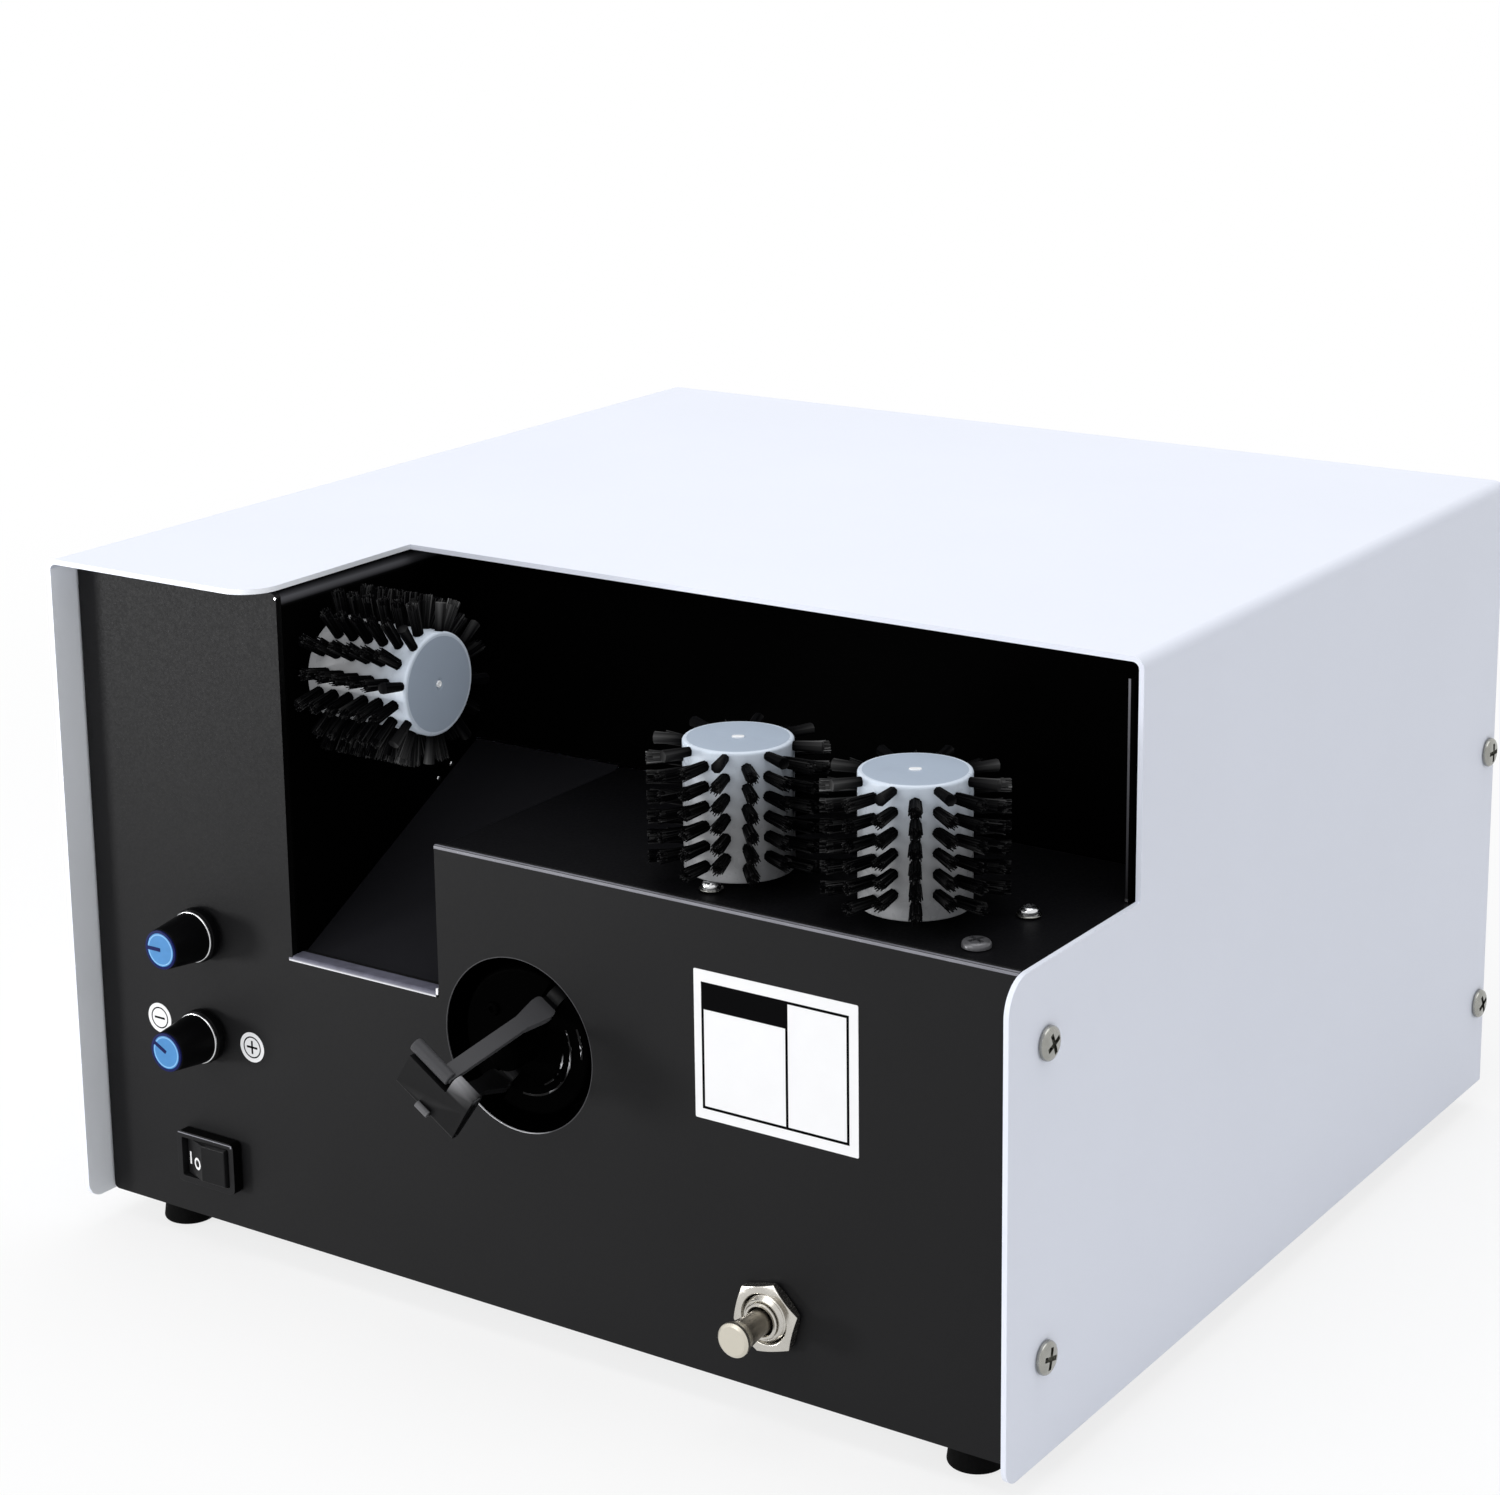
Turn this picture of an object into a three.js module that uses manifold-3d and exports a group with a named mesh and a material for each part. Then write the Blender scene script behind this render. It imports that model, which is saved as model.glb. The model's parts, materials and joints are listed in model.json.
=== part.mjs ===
// Desktop machine that brushes out and twists the braid of screened cable.
// Millimetres: +X right along the front, +Y to the back, +Z up.
import * as THREE from "three";
import { mergeVertices } from "three/addons/utils/BufferGeometryUtils.js";
import Module from "manifold-3d";

const wasm = await Module();
wasm.setup();

// Clearances that every seat shares
const gap = 0.3;
const running = 0.4;
const overrun = 1;

// Driving sizes of the folded sheet housing, with heights from the cover's lower edge
const cover = {
  width: 300, depth: 293, height: 187.5, sheet: 2, bend: 3.2,
  noseRound: 10, stepRound: 9, toeRound: 5,
};
const foot = { height: 8, radius: 7.5, topRadius: 6.4, edge: 1, insetX: 20, insetY: 21, dimple: 3 };
const frontPanel = { recess: 9.2, sheet: 2, rise: 0.6, flange: 17, corner: 1.5 };
const rearPanel = {
  recess: 1, sheet: 2, flange: 15, ventWidth: 3.2, ventLength: 34, ventPitch: 8, ventLow: 96,
};
const basePlate = { sheet: 2, brim: 12 };
const tower = { edge: 74.6, sheet: 1.5, flange: 9, bend: 2.4 };
const bay = { mouth: 64.1, depth: 90, sheet: 1.4, flange: 9, bend: 2 };
const shelf = { left: 125.2, height: 125.4, step: 0.8, sheet: 2, fold: 44, bend: 2.2 };
const chute = { sill: 85.1, lip: 5.5, lipDrop: 6, bend: 1.6, floorSheet: 1.5, skirt: 7 };

// Screws
const coverScrew = {
  head: 4.3, rise: 2.5, round: 1.4, shank: 1.9, hole: 2.25, tail: 3, front: 18, rear: 5, low: 26.5, high: 106,
};
const shelfScrew = { head: 3.6, rise: 1.8, round: 1, shank: 1.5, hole: 1.8, depth: 8 };

// Bristle brushes: the standing pair and the one that lies across the tower wall
const brush = {
  hub: 13.9, core: 11.2, sleeveGap: 0.3, length: 33.5, cap: 1.6, chamfer: 0.7, dimple: 1.7, dimpleDepth: 1,
  collar: 7, collarLength: 1.9, shaft: 4, boreDepth: 26, reach: 23,
  tuftPitch: 5.1, tuftRoot: 1.3, tuftTip: 1.85, sink: 0.6,
};
const brushPlace = {
  rightInset: 43.4, depth: 31, standoff: 2.7, sideDrop: 26.5,
  leftRowAngle: -47.2, rightRowAngle: -58.8, sideRowAngle: -122.4,
};

// Gear train under the shelf, which turns the standing brushes against each other
const brushGear = { toothSize: 1, teeth: 17, width: 7, shelfGap: 5 };
const gearPlate = { margin: 21, thickness: 3, post: 2.6, postOffset: 12.5, postReach: 24.2, stud: 2.4 };

// Involute tooth form of every gear, as shares of the tooth size, and its pressure angle
const toothForm = { rootShare: 1.2, tipShare: 0.8, backlashShare: 0.14, pressureAngle: 20 };

// Direct-current gear motor, used three times
const motor = {
  radius: 18.5, length: 52, boss: 6, bossLength: 3, chamfer: 1.2, shaft: 3, shaftDepth: 14,
  tail: 4.5, tailLength: 3,
};

// Twisting head and its spindle, in a frame of its own with the spindle along Y
const twist = { brushOffset: 54.6, height: 76, hole: 23.5, leanAngle: 33.4 };
const rotor = {
  front: 12.5, disc: 20, thickness: 7, edge: 1.2, nose: 5, noseTip: 2, noseRound: 1.6,
  barrel: 12.6, barrelBore: 8.7, barrelLength: 18, shaft: 7, bore: 3.5, rear: 94,
  slot: 5.8, slotInner: 7.4, slotLength: 18.5, screwCircle: 12.5, screwHead: 1.9, screwRise: 0.9,
};
const lever = {
  pivot: 15, pivotBack: 3.8, pin: 1.5, pinLength: 15, eye: 3.3, width: 5.1, thickness: 2.1,
  tailReach: 10.5, tailRadius: 1.1, lug: 4.2, lugGap: 0.6, lugLength: 3, flare: 6.5, flareRound: 4,
};
const upperJaw = { reach: 22.5, height: 4.2, roller: 2.1, rollerStart: 11.6, rollerEnd: 2.5 };
const lowerJaw = {
  reach: 22.5, blockBack: 2.1, blockHalf: 11, shoulder: 6.8, nipGap: 0.5, bottom: 8.4, toe: 1.3,
  barHeight: 7.3, tip: 1.1, seam: 0.5, recess: 0.8,
};
const pushRod = {
  radius: 3, coneFront: 3.4, coneRear: 8, coneLength: 8.5, coneStart: 1.4, land: 1.6, tail: 12,
};

// Spindle frame, gears and drive behind the head
const spindleFrame = {
  frontWall: 42, frontThickness: 14, rearWall: 77, rearThickness: 4, width: 40, shoulder: 19,
  soleThickness: 5, soleReach: 8,
};
const spindleGear = { toothSize: 1.5, teeth: 26, width: 8, start: 64, hub: 11, hubLength: 3 };
const pinionTeeth = 14;
const solenoid = {
  start: 106, length: 42, width: 20, plunger: 4, plungerLength: 22, bracket: 3, soleReach: 14, stroke: 3,
};

// Controls on the front panel
const controls = { x: 42, upperKnob: 85.5, lowerKnob: 56, rocker: 19, buttonInset: 72, buttonHeight: 21.8 };
const knob = {
  length: 15, face: 5.6, crown: 7, skirt: 7.6, skirtLength: 2.6, groove: 0.35, grooveWidth: 0.9, lift: 1.2,
  chamfer: 0.7, capRadius: 4.9, capRise: 0.4, shaft: 2.8, wellDepth: 9.5, well: 4.4,
};
const pot = { body: 8, bodyLength: 9, bush: 3.5, bushOut: 4.6, bore: 3.1, shaftIn: 6 };
const rockerSwitch = {
  width: 21, height: 15, bezel: 3.4, corner: 1.6, windowWidth: 17.4, windowHeight: 11.4,
  bodyWidth: 18.6, bodyHeight: 12.6, bodyDepth: 15, wellDepth: 7,
  terminal: 4, terminalPitch: 6, terminalSheet: 0.8, terminalLength: 7,
};
const rockerKey = {
  halfWidth: 8.3, height: 10.8, ridge: 4.4, root: 2.6, tiltAngle: 10, pivotBack: 1.2, flank: 0.7,
};
const button = {
  nutFlats: 17, nutThickness: 3, bush: 6, bushOut: 5, bushIn: 14, bushBore: 3.9, ring: 4.9, ringStep: 0.8,
  neck: 3.3, head: 4.8, headLength: 3.4, headRound: 0.5, reach: 17.2, stem: 9, body: 7, bodyLength: 9,
};

// Electrics at the back
const inlet = {
  x: 60, height: 42, width: 27, tall: 20, depth: 16, flangeWidth: 48, flangeTall: 24, flange: 2,
  cavityWidth: 23.6, cavityTall: 16.4, cavityDepth: 13, corner: 2.5, screwPitch: 40, screwHole: 1.7,
  pinWidth: 2, pinTall: 4, pinRise: 9, pinPitch: 7,
};
const supply = {
  x: 22, rearSpace: 40, width: 62, depth: 100, height: 38,
  slotWidth: 2.4, slotPitch: 12, slotInset: 12, slotDepth: 1.5,
};

// Counts of facets and copies
const facets = {
  smallSides: 8, screwSides: 10, footSides: 12, mediumSides: 16, largeSides: 24, brushSides: 32,
  bendSteps: 2, cornerSteps: 4, nutSides: 6, tuftSides: 4,
};
const brushRows = 16;
const tuftsInRow = 6;
const idlers = 2;
const rearVents = 8;
const supplySlots = 6;
const roundShare = 0.95;
const degree = Math.PI / 180;

// Levels and places that several pieces share
const floorEdge = foot.height;
const coverTop = floorEdge + cover.height;
const roof = coverTop - cover.sheet - gap;
const innerLeft = cover.sheet + gap;
const innerRight = cover.width - cover.sheet - gap;
const panelBack = frontPanel.recess + frontPanel.sheet;
const panelFoot = floorEdge + frontPanel.rise;
const shelfTop = floorEdge + shelf.height;
const shelfUnder = shelfTop - shelf.sheet;
const sillTop = floorEdge + chute.sill;
const rearFace = cover.depth - rearPanel.recess;
const rearInner = rearFace - rearPanel.sheet;
const baseTop = panelFoot + basePlate.sheet;
const gearPitch = brushGear.toothSize * brushGear.teeth;
const rightBrush = cover.width - brushPlace.rightInset;
const leftBrush = rightBrush - (idlers + 1) * gearPitch;
const sideBrushHeight = coverTop - brushPlace.sideDrop;
const hubStart = shelfTop + brushPlace.standoff;
const gearTop = shelfUnder - brushGear.shelfGap;
const gearUnder = gearTop - brushGear.width;
const gearPlateTop = gearUnder - gap;
const gearPlateUnder = gearPlateTop - gearPlate.thickness;
const twistPlace = leftBrush - twist.brushOffset;
const spindleHeight = floorEdge + twist.height;
const gearCentres = (spindleGear.toothSize * (spindleGear.teeth + pinionTeeth)) / 2;
const buttonPlace = cover.width - controls.buttonInset;
const headFront = frontPanel.recess - button.reach;
const jawFront = -(lowerJaw.reach + lowerJaw.blockBack + lowerJaw.tip);
const frontReach = Math.min(jawFront, headFront);
const rearReach = rearFace + inlet.flange;

// Finishes, one new material for each piece
const finishes = {
  whitePowder: { color: 0xe9ebf0, roughness: 0.5, metalness: 0.1 },
  blackPowder: { color: 0x222324, roughness: 0.55, metalness: 0.2 },
  zinc: { color: 0x9a9c9f, roughness: 0.35, metalness: 0.9 },
  steel: { color: 0xc4c6c8, roughness: 0.25, metalness: 1 },
  blackSteel: { color: 0x3a3b3d, roughness: 0.4, metalness: 0.8 },
  blackScrew: { color: 0x1a1a1b, roughness: 0.4, metalness: 0.7 },
  nylon: { color: 0xc9d2de, roughness: 0.35, metalness: 0 },
  bristle: { color: 0x0c0c0d, roughness: 0.6, metalness: 0 },
  rubber: { color: 0x141414, roughness: 0.9, metalness: 0 },
  blackPlastic: { color: 0x101113, roughness: 0.4, metalness: 0 },
  brass: { color: 0xb59a5a, roughness: 0.3, metalness: 1 },
};

// Turns a closed three.js geometry into a solid that can be joined and cut.
function solidOf(geometry) {
  const bare = geometry.index ? geometry.toNonIndexed() : geometry.clone();
  bare.deleteAttribute("normal");
  bare.deleteAttribute("uv");
  const merged = mergeVertices(bare);
  const faces = [];
  for (let i = 0; i < merged.index.count; i += 3) {
    const [a, b, c] = [0, 1, 2].map((k) => merged.index.getX(i + k));
    if (a !== b && b !== c && c !== a) faces.push(a, b, c);
  }
  return new wasm.Manifold(
    new wasm.Mesh({
      numProp: 3,
      vertProperties: Float32Array.from(merged.attributes.position.array),
      triVerts: Uint32Array.from(faces),
    }),
  );
}

const join = (...solids) => wasm.Manifold.union(solids.flat());
const cut = (solid, ...tools) => wasm.Manifold.difference([solid, ...tools.flat()]);

// Block between two corners, each axis given as [from, to].
function block(x, y, z) {
  const geometry = new THREE.BoxGeometry(x[1] - x[0], y[1] - y[0], z[1] - z[0]);
  geometry.translate((x[0] + x[1]) / 2, (y[0] + y[1]) / 2, (z[0] + z[1]) / 2);
  return solidOf(geometry);
}

// Frames that stand a drawn outline, or a turned profile, along an axis.
const outlineFrames = {
  x: new THREE.Matrix4().makeBasis(
    new THREE.Vector3(0, 1, 0), new THREE.Vector3(0, 0, 1), new THREE.Vector3(1, 0, 0)),
  y: new THREE.Matrix4().makeBasis(
    new THREE.Vector3(1, 0, 0), new THREE.Vector3(0, 0, 1), new THREE.Vector3(0, -1, 0)),
  z: new THREE.Matrix4(),
};
const turnFrames = {
  x: new THREE.Matrix4().makeRotationZ(-Math.PI / 2),
  y: new THREE.Matrix4(),
  z: new THREE.Matrix4().makeRotationX(Math.PI / 2),
};

// Outline of straight lines whose corners [a, b, radius] may be rounded.
function outline(corners, Type = THREE.Shape) {
  const shape = new Type();
  corners.forEach(([a, b, radius = 0], i) => {
    const at = new THREE.Vector2(a, b);
    const before = corners[(i + corners.length - 1) % corners.length];
    const after = corners[(i + 1) % corners.length];
    const toBefore = new THREE.Vector2(before[0], before[1]).sub(at).normalize();
    const toAfter = new THREE.Vector2(after[0], after[1]).sub(at).normalize();
    const place = i === 0 ? "moveTo" : "lineTo";
    if (radius === 0) {
      shape[place](at.x, at.y);
      return;
    }
    const half = Math.acos(THREE.MathUtils.clamp(toBefore.dot(toAfter), -1, 1)) / 2;
    const run = radius / Math.tan(half);
    const start = at.clone().addScaledVector(toBefore, run);
    const end = at.clone().addScaledVector(toAfter, run);
    const middle = toBefore.clone().add(toAfter).normalize();
    const centre = at.clone().addScaledVector(middle, radius / Math.sin(half));
    const from = Math.atan2(start.y - centre.y, start.x - centre.x);
    const to = Math.atan2(end.y - centre.y, end.x - centre.x);
    shape[place](start.x, start.y);
    shape.absarc(centre.x, centre.y, radius, from, to, toBefore.cross(toAfter) > 0);
  });
  shape.closePath();
  return shape;
}

const ring = (a, b, radius, Type = THREE.Path) => new Type().absarc(a, b, radius, 0, 2 * Math.PI, false);

// Outline in the plane across an axis, drawn out from one place to another along it.
function drawn(axis, shape, from, to, curveSegments = facets.cornerSteps) {
  const geometry = new THREE.ExtrudeGeometry(shape, { depth: to - from, bevelEnabled: false, curveSegments });
  geometry.applyMatrix4(outlineFrames[axis]);
  const start = axis === "y" ? to : from;
  geometry.translate(...["x", "y", "z"].map((name) => (name === axis ? start : 0)));
  return solidOf(geometry);
}

// Profile of [radius, place] points turned about a line along an axis through the given centre.
function turned(axis, centre, profile, sides = facets.mediumSides, firstEdge = 0) {
  const points = profile.map(([radius, place]) => new THREE.Vector2(radius, place));
  const geometry = new THREE.LatheGeometry(points, sides, firstEdge);
  geometry.applyMatrix4(turnFrames[axis]);
  const others = ["x", "y", "z"].filter((name) => name !== axis);
  geometry.translate(
    ...["x", "y", "z"].map((name) => (name === axis ? 0 : centre[others.indexOf(name)])),
  );
  return solidOf(geometry);
}

const rod = (axis, centre, radius, from, to, sides = facets.mediumSides) =>
  turned(axis, centre, [[0, from], [radius, from], [radius, to], [0, to]], sides);

const machine = new THREE.Group();

// Adds a finished piece to the machine, or to one of its tilted groups.
function add(name, solid, finish, parent = machine) {
  const { vertProperties, triVerts } = solid.getMesh();
  const geometry = new THREE.BufferGeometry();
  geometry.setAttribute("position", new THREE.BufferAttribute(vertProperties, 3));
  geometry.setIndex(new THREE.BufferAttribute(triVerts, 1));
  geometry.computeVertexNormals();
  const mesh = new THREE.Mesh(geometry, new THREE.MeshStandardMaterial(finishes[finish]));
  mesh.name = name;
  parent.add(mesh);
}

// Places of the cover's side screws as [depth, height]
const coverScrewPlaces = [coverScrew.front, cover.depth - coverScrew.rear].flatMap((depth) =>
  [coverScrew.low, coverScrew.high].map((height) => [depth, floorEdge + height]));

function screwHoles(x) {
  return coverScrewPlaces.map((place) => rod("x", place, coverScrew.hole, ...x, facets.smallSides));
}

// White cover: top and two sides from one sheet, cut back around the open brush bay
function buildCover() {
  const { width, depth, sheet, bend, noseRound, stepRound, toeRound } = cover;
  const inner = bend - sheet;
  const section = outline([
    [0, floorEdge], [sheet, floorEdge], [sheet, coverTop - sheet, inner],
    [width - sheet, coverTop - sheet, inner], [width - sheet, floorEdge],
    [width, floorEdge], [width, coverTop, bend], [0, coverTop, bend],
  ]);
  const stepLevel = shelfTop + shelf.step;
  const bayCut = new THREE.Shape();
  bayCut.moveTo(tower.edge, bay.mouth);
  bayCut.lineTo(tower.edge, noseRound);
  bayCut.absarc(tower.edge - noseRound, noseRound, noseRound, 0, -Math.PI / 2, true);
  bayCut.lineTo(tower.edge - noseRound, -overrun);
  bayCut.lineTo(width + overrun, -overrun);
  bayCut.lineTo(width + overrun, bay.mouth);
  bayCut.closePath();
  const stepCorner = new THREE.Shape();
  stepCorner.moveTo(-overrun, stepLevel - stepRound);
  stepCorner.lineTo(0, stepLevel - stepRound);
  stepCorner.absarc(stepRound, stepLevel - stepRound, stepRound, Math.PI, Math.PI / 2, true);
  stepCorner.lineTo(stepRound, stepLevel + overrun);
  stepCorner.lineTo(-overrun, stepLevel + overrun);
  stepCorner.closePath();
  const toeCorner = new THREE.Shape();
  toeCorner.moveTo(toeRound, floorEdge - overrun);
  toeCorner.lineTo(toeRound, floorEdge);
  toeCorner.absarc(toeRound, floorEdge + toeRound, toeRound, -Math.PI / 2, -Math.PI, true);
  toeCorner.lineTo(-overrun, floorEdge + toeRound);
  toeCorner.lineTo(-overrun, floorEdge - overrun);
  toeCorner.closePath();
  const shell = cut(
    drawn("y", section, 0, depth, facets.bendSteps),
    drawn("z", bayCut, stepLevel, coverTop + overrun),
    drawn("x", stepCorner, width - bend, width + overrun),
    drawn("x", toeCorner, -overrun, width + overrun),
    screwHoles([-overrun, width + overrun]),
  );
  add("cover", shell, "whitePowder");
}

// Pan-head screw along an axis, with its head's seat at one place and its tail at another
function panScrew(axis, centre, seat, tail, screw) {
  const way = Math.sign(seat - tail);
  const top = seat + way * screw.rise;
  return turned(axis, centre, sortProfile([
    [0, tail], [screw.shank, tail], [screw.shank, seat], [screw.head, seat],
    [screw.head, top - way * screw.round], [screw.head - screw.round, top], [0, top],
  ], way), facets.screwSides);
}

const sortProfile = (profile, way) => (way > 0 ? profile : profile.slice().reverse());

function buildCoverScrews() {
  const names = ["front_low", "front_high", "rear_low", "rear_high"];
  const inside = cover.sheet + coverScrew.tail;
  coverScrewPlaces.forEach((place, i) => {
    add(`cover_screw_left_${names[i]}`, panScrew("x", place, -gap, inside, coverScrew), "steel");
    add(`cover_screw_right_${names[i]}`,
      panScrew("x", place, cover.width + gap, cover.width - inside, coverScrew), "steel");
  });
}

// Black front panel: tower face, chute notch with its folded lip, lower face with all the holes
function buildFrontPanel() {
  const { recess, sheet, flange, corner } = frontPanel;
  const notchFloor = sillTop - chute.lipDrop;
  const face = outline([
    [innerLeft, panelFoot, corner], [innerRight, panelFoot, corner], [innerRight, shelfTop],
    [shelf.left, shelfTop], [shelf.left, notchFloor], [tower.edge, notchFloor],
    [tower.edge, roof, corner], [innerLeft, roof, corner],
  ]);
  const lip = outline([
    [recess, notchFloor - overrun], [panelBack, notchFloor - overrun], [panelBack, sillTop - sheet],
    [recess + chute.lip, sillTop - sheet], [recess + chute.lip, sillTop], [recess, sillTop, chute.bend],
  ]);
  const flangeSpan = [recess, recess + flange];
  const flangeFoot = panelFoot + basePlate.brim;
  const leftFlange = block([innerLeft, innerLeft + sheet], flangeSpan, [flangeFoot, roof - tower.flange]);
  const rightFlange = block([innerRight - sheet, innerRight], flangeSpan,
    [flangeFoot, shelfUnder - basePlate.brim]);
  const across = [recess - overrun, panelBack + overrun];
  const cutout = rockerSwitch;
  const panel = cut(
    join(
      drawn("y", face, recess, panelBack, facets.bendSteps),
      drawn("x", lip, tower.edge + gap, shelf.left - gap, facets.bendSteps),
      leftFlange,
      rightFlange,
    ),
    screwHoles([-overrun, innerLeft + sheet + overrun]),
    screwHoles([innerRight - sheet - overrun, cover.width + overrun]),
    rod("y", [controls.x, floorEdge + controls.upperKnob], pot.bush + gap, ...across, facets.smallSides),
    rod("y", [controls.x, floorEdge + controls.lowerKnob], pot.bush + gap, ...across, facets.smallSides),
    rod("y", [buttonPlace, floorEdge + controls.buttonHeight], button.bush + gap, ...across),
    rod("y", [twistPlace, spindleHeight], twist.hole, ...across, facets.largeSides),
    block(
      [controls.x - cutout.bodyWidth / 2 - gap, controls.x + cutout.bodyWidth / 2 + gap],
      across,
      [floorEdge + controls.rocker - cutout.bodyHeight / 2 - gap,
        floorEdge + controls.rocker + cutout.bodyHeight / 2 + gap],
    ),
  );
  add("front_panel", panel, "blackPowder");
}

// Rear panel with side flanges for the cover's screws, vent slots and the inlet's cutout
function buildRearPanel() {
  const { sheet, flange, ventWidth, ventLength, ventPitch, ventLow } = rearPanel;
  const faceSpan = [rearInner, rearFace];
  const corner = frontPanel.corner;
  const face = outline([
    [innerLeft, panelFoot, corner], [innerRight, panelFoot, corner],
    [innerRight, roof, corner], [innerLeft, roof, corner],
  ]);
  const sides = [[innerLeft, innerLeft + sheet], [innerRight - sheet, innerRight]].map((x) =>
    block(x, [rearFace - flange, rearFace], [panelFoot + basePlate.brim, roof - tower.flange]));
  const through = [rearInner - overrun, rearFace + overrun];
  const ventStart = (cover.width - (rearVents - 1) * ventPitch) / 2;
  const vents = Array.from({ length: rearVents }, (_, i) => {
    const x = ventStart + i * ventPitch;
    const z = floorEdge + ventLow;
    return block([x - ventWidth / 2, x + ventWidth / 2], through, [z, z + ventLength]);
  });
  const z = floorEdge + inlet.height;
  const hole = block(
    [inlet.x - inlet.width / 2 - gap, inlet.x + inlet.width / 2 + gap], through,
    [z - inlet.tall / 2 - gap, z + inlet.tall / 2 + gap]);
  const screws = [-1, 1].map((side) =>
    rod("y", [inlet.x + (side * inlet.screwPitch) / 2, z], inlet.screwHole, ...through, facets.smallSides));
  const panel = cut(
    join(drawn("y", face, ...faceSpan, facets.bendSteps), sides),
    vents, hole, screws,
    screwHoles([-overrun, innerLeft + sheet + overrun]),
    screwHoles([innerRight - sheet - overrun, cover.width + overrun]),
  );
  add("rear_panel", panel, "blackPowder");
}

const footPlaces = {
  front_left: [foot.insetX, foot.insetY],
  front_right: [cover.width - foot.insetX, foot.insetY],
  rear_left: [foot.insetX, cover.depth - foot.insetY],
  rear_right: [cover.width - foot.insetX, cover.depth - foot.insetY],
};

// Base plate: shallow tray between the panels, with a hole for each foot's screw
function buildBasePlate() {
  const { sheet, brim } = basePlate;
  const y = [panelBack + gap, rearInner - gap];
  const [left, right] = [innerLeft + gap, innerRight - gap];
  const tray = join(
    block([left, right], y, [panelFoot, baseTop]),
    block([left, left + sheet], y, [panelFoot, panelFoot + brim - gap]),
    block([right - sheet, right], y, [panelFoot, panelFoot + brim - gap]),
  );
  const holes = Object.values(footPlaces).map((place) =>
    rod("z", place, foot.dimple - foot.edge, panelFoot - overrun, baseTop + overrun, facets.smallSides));
  add("base_plate", cut(tray, holes), "zinc");
}

// Rubber foot: tapered, with a well for its screw and the screw's stub up into the base plate
function buildFeet() {
  const { radius, topRadius, edge, dimple, height } = foot;
  const top = panelFoot - gap;
  const stub = dimple - edge - gap;
  const profile = [
    [0, height / 2], [dimple, height / 2], [dimple, 0], [radius, 0],
    [topRadius, top], [stub, top], [stub, baseTop], [0, baseTop],
  ];
  Object.entries(footPlaces).forEach(([corner, place]) => {
    add(`foot_${corner}`, turned("z", place, profile, facets.footSides), "rubber");
  });
}

// Wall of the tower beside the bay, folded over to the left under the cover's top
function buildTowerWall() {
  const { edge, sheet, flange, bend } = tower;
  const section = outline([
    [edge - sheet, sillTop - chute.lipDrop], [edge, sillTop - chute.lipDrop], [edge, roof, bend],
    [edge - flange, roof], [edge - flange, roof - sheet], [edge - sheet, roof - sheet, bend - sheet],
  ]);
  const wall = cut(
    drawn("y", section, panelBack + gap, bay.depth, facets.bendSteps),
    rod("x", [brushPlace.depth, sideBrushHeight], motor.boss + gap,
      edge - flange - overrun, edge + overrun),
  );
  add("tower_wall", wall, "blackPowder");
}

// Back and right walls of the bay from one sheet, with the top edges folded away from the bay
function buildBayLiner() {
  const { mouth, depth, sheet, flange, bend } = bay;
  const left = tower.edge - tower.sheet;
  const right = innerRight - gap;
  const low = shelfTop + gap;
  const back = outline([
    [depth + gap, low], [depth + gap + sheet, low], [depth + gap + sheet, roof - sheet, bend - sheet],
    [depth + gap + flange, roof - sheet], [depth + gap + flange, roof], [depth + gap, roof, bend],
  ]);
  const side = block([right - sheet, right], [mouth, depth + gap + sheet], [low, roof - cover.bend]);
  add("bay_liner", join(drawn("x", back, left, right, facets.bendSteps), side), "blackPowder");
}

// Shelf under the standing brushes, folded down on its left to close the chute
function buildShelf() {
  const { left, sheet, fold, bend } = shelf;
  const section = outline([
    [left, shelfTop, bend], [left, shelfTop - fold], [left + sheet, shelfTop - fold],
    [left + sheet, shelfUnder, bend - sheet], [innerRight - gap, shelfUnder], [innerRight - gap, shelfTop],
  ]);
  const y = [panelBack + gap, bay.depth];
  const through = [shelfUnder - overrun, shelfTop + overrun];
  const shafts = [leftBrush, rightBrush].map((x) =>
    rod("z", [x, brushPlace.depth], brush.shaft + running, ...through));
  const screws = Object.values(postPlaces).map((place) =>
    rod("z", place, shelfScrew.hole, ...through, facets.smallSides));
  add("shelf_plate", cut(drawn("y", section, ...y, facets.bendSteps), shafts, screws), "blackPowder");
}

// Chute floor: slopes from the lip up to the bay's back wall, with a skirt down each side
function buildChuteFloor() {
  const { floorSheet, skirt, lip } = chute;
  const low = [frontPanel.recess + lip + gap, sillTop];
  const high = [bay.depth, shelfTop];
  const slope = (drop) => outline([
    low, high, [high[0], high[1] - drop], [low[0], low[1] - drop]].reverse());
  const [left, right] = [tower.edge + gap, shelf.left - gap];
  const floor = join(
    drawn("x", slope(floorSheet), left, right),
    drawn("x", slope(skirt), left, left + floorSheet),
    drawn("x", slope(skirt), right - floorSheet, right),
  );
  add("chute_floor", floor, "blackPowder");
}

// Posts of the gear plate: one pair in line with the left brush, one beyond the right brush
const postPlaces = {
  left_front: [leftBrush, brushPlace.depth - gearPlate.postOffset],
  left_rear: [leftBrush, brushPlace.depth + gearPlate.postOffset],
  right_front: [rightBrush + gearPlate.postReach, brushPlace.depth - gearPlate.postOffset],
  right_rear: [rightBrush + gearPlate.postReach, brushPlace.depth + gearPlate.postOffset],
};

function buildShelfScrews() {
  Object.entries(postPlaces).forEach(([corner, place]) => {
    const tail = shelfTop - shelf.sheet - shelfScrew.depth;
    const finish = corner === "right_front" ? "blackScrew" : "steel";
    add(`shelf_screw_${corner}`, panScrew("z", place, shelfTop + gap, tail, shelfScrew), finish);
  });
}

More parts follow.
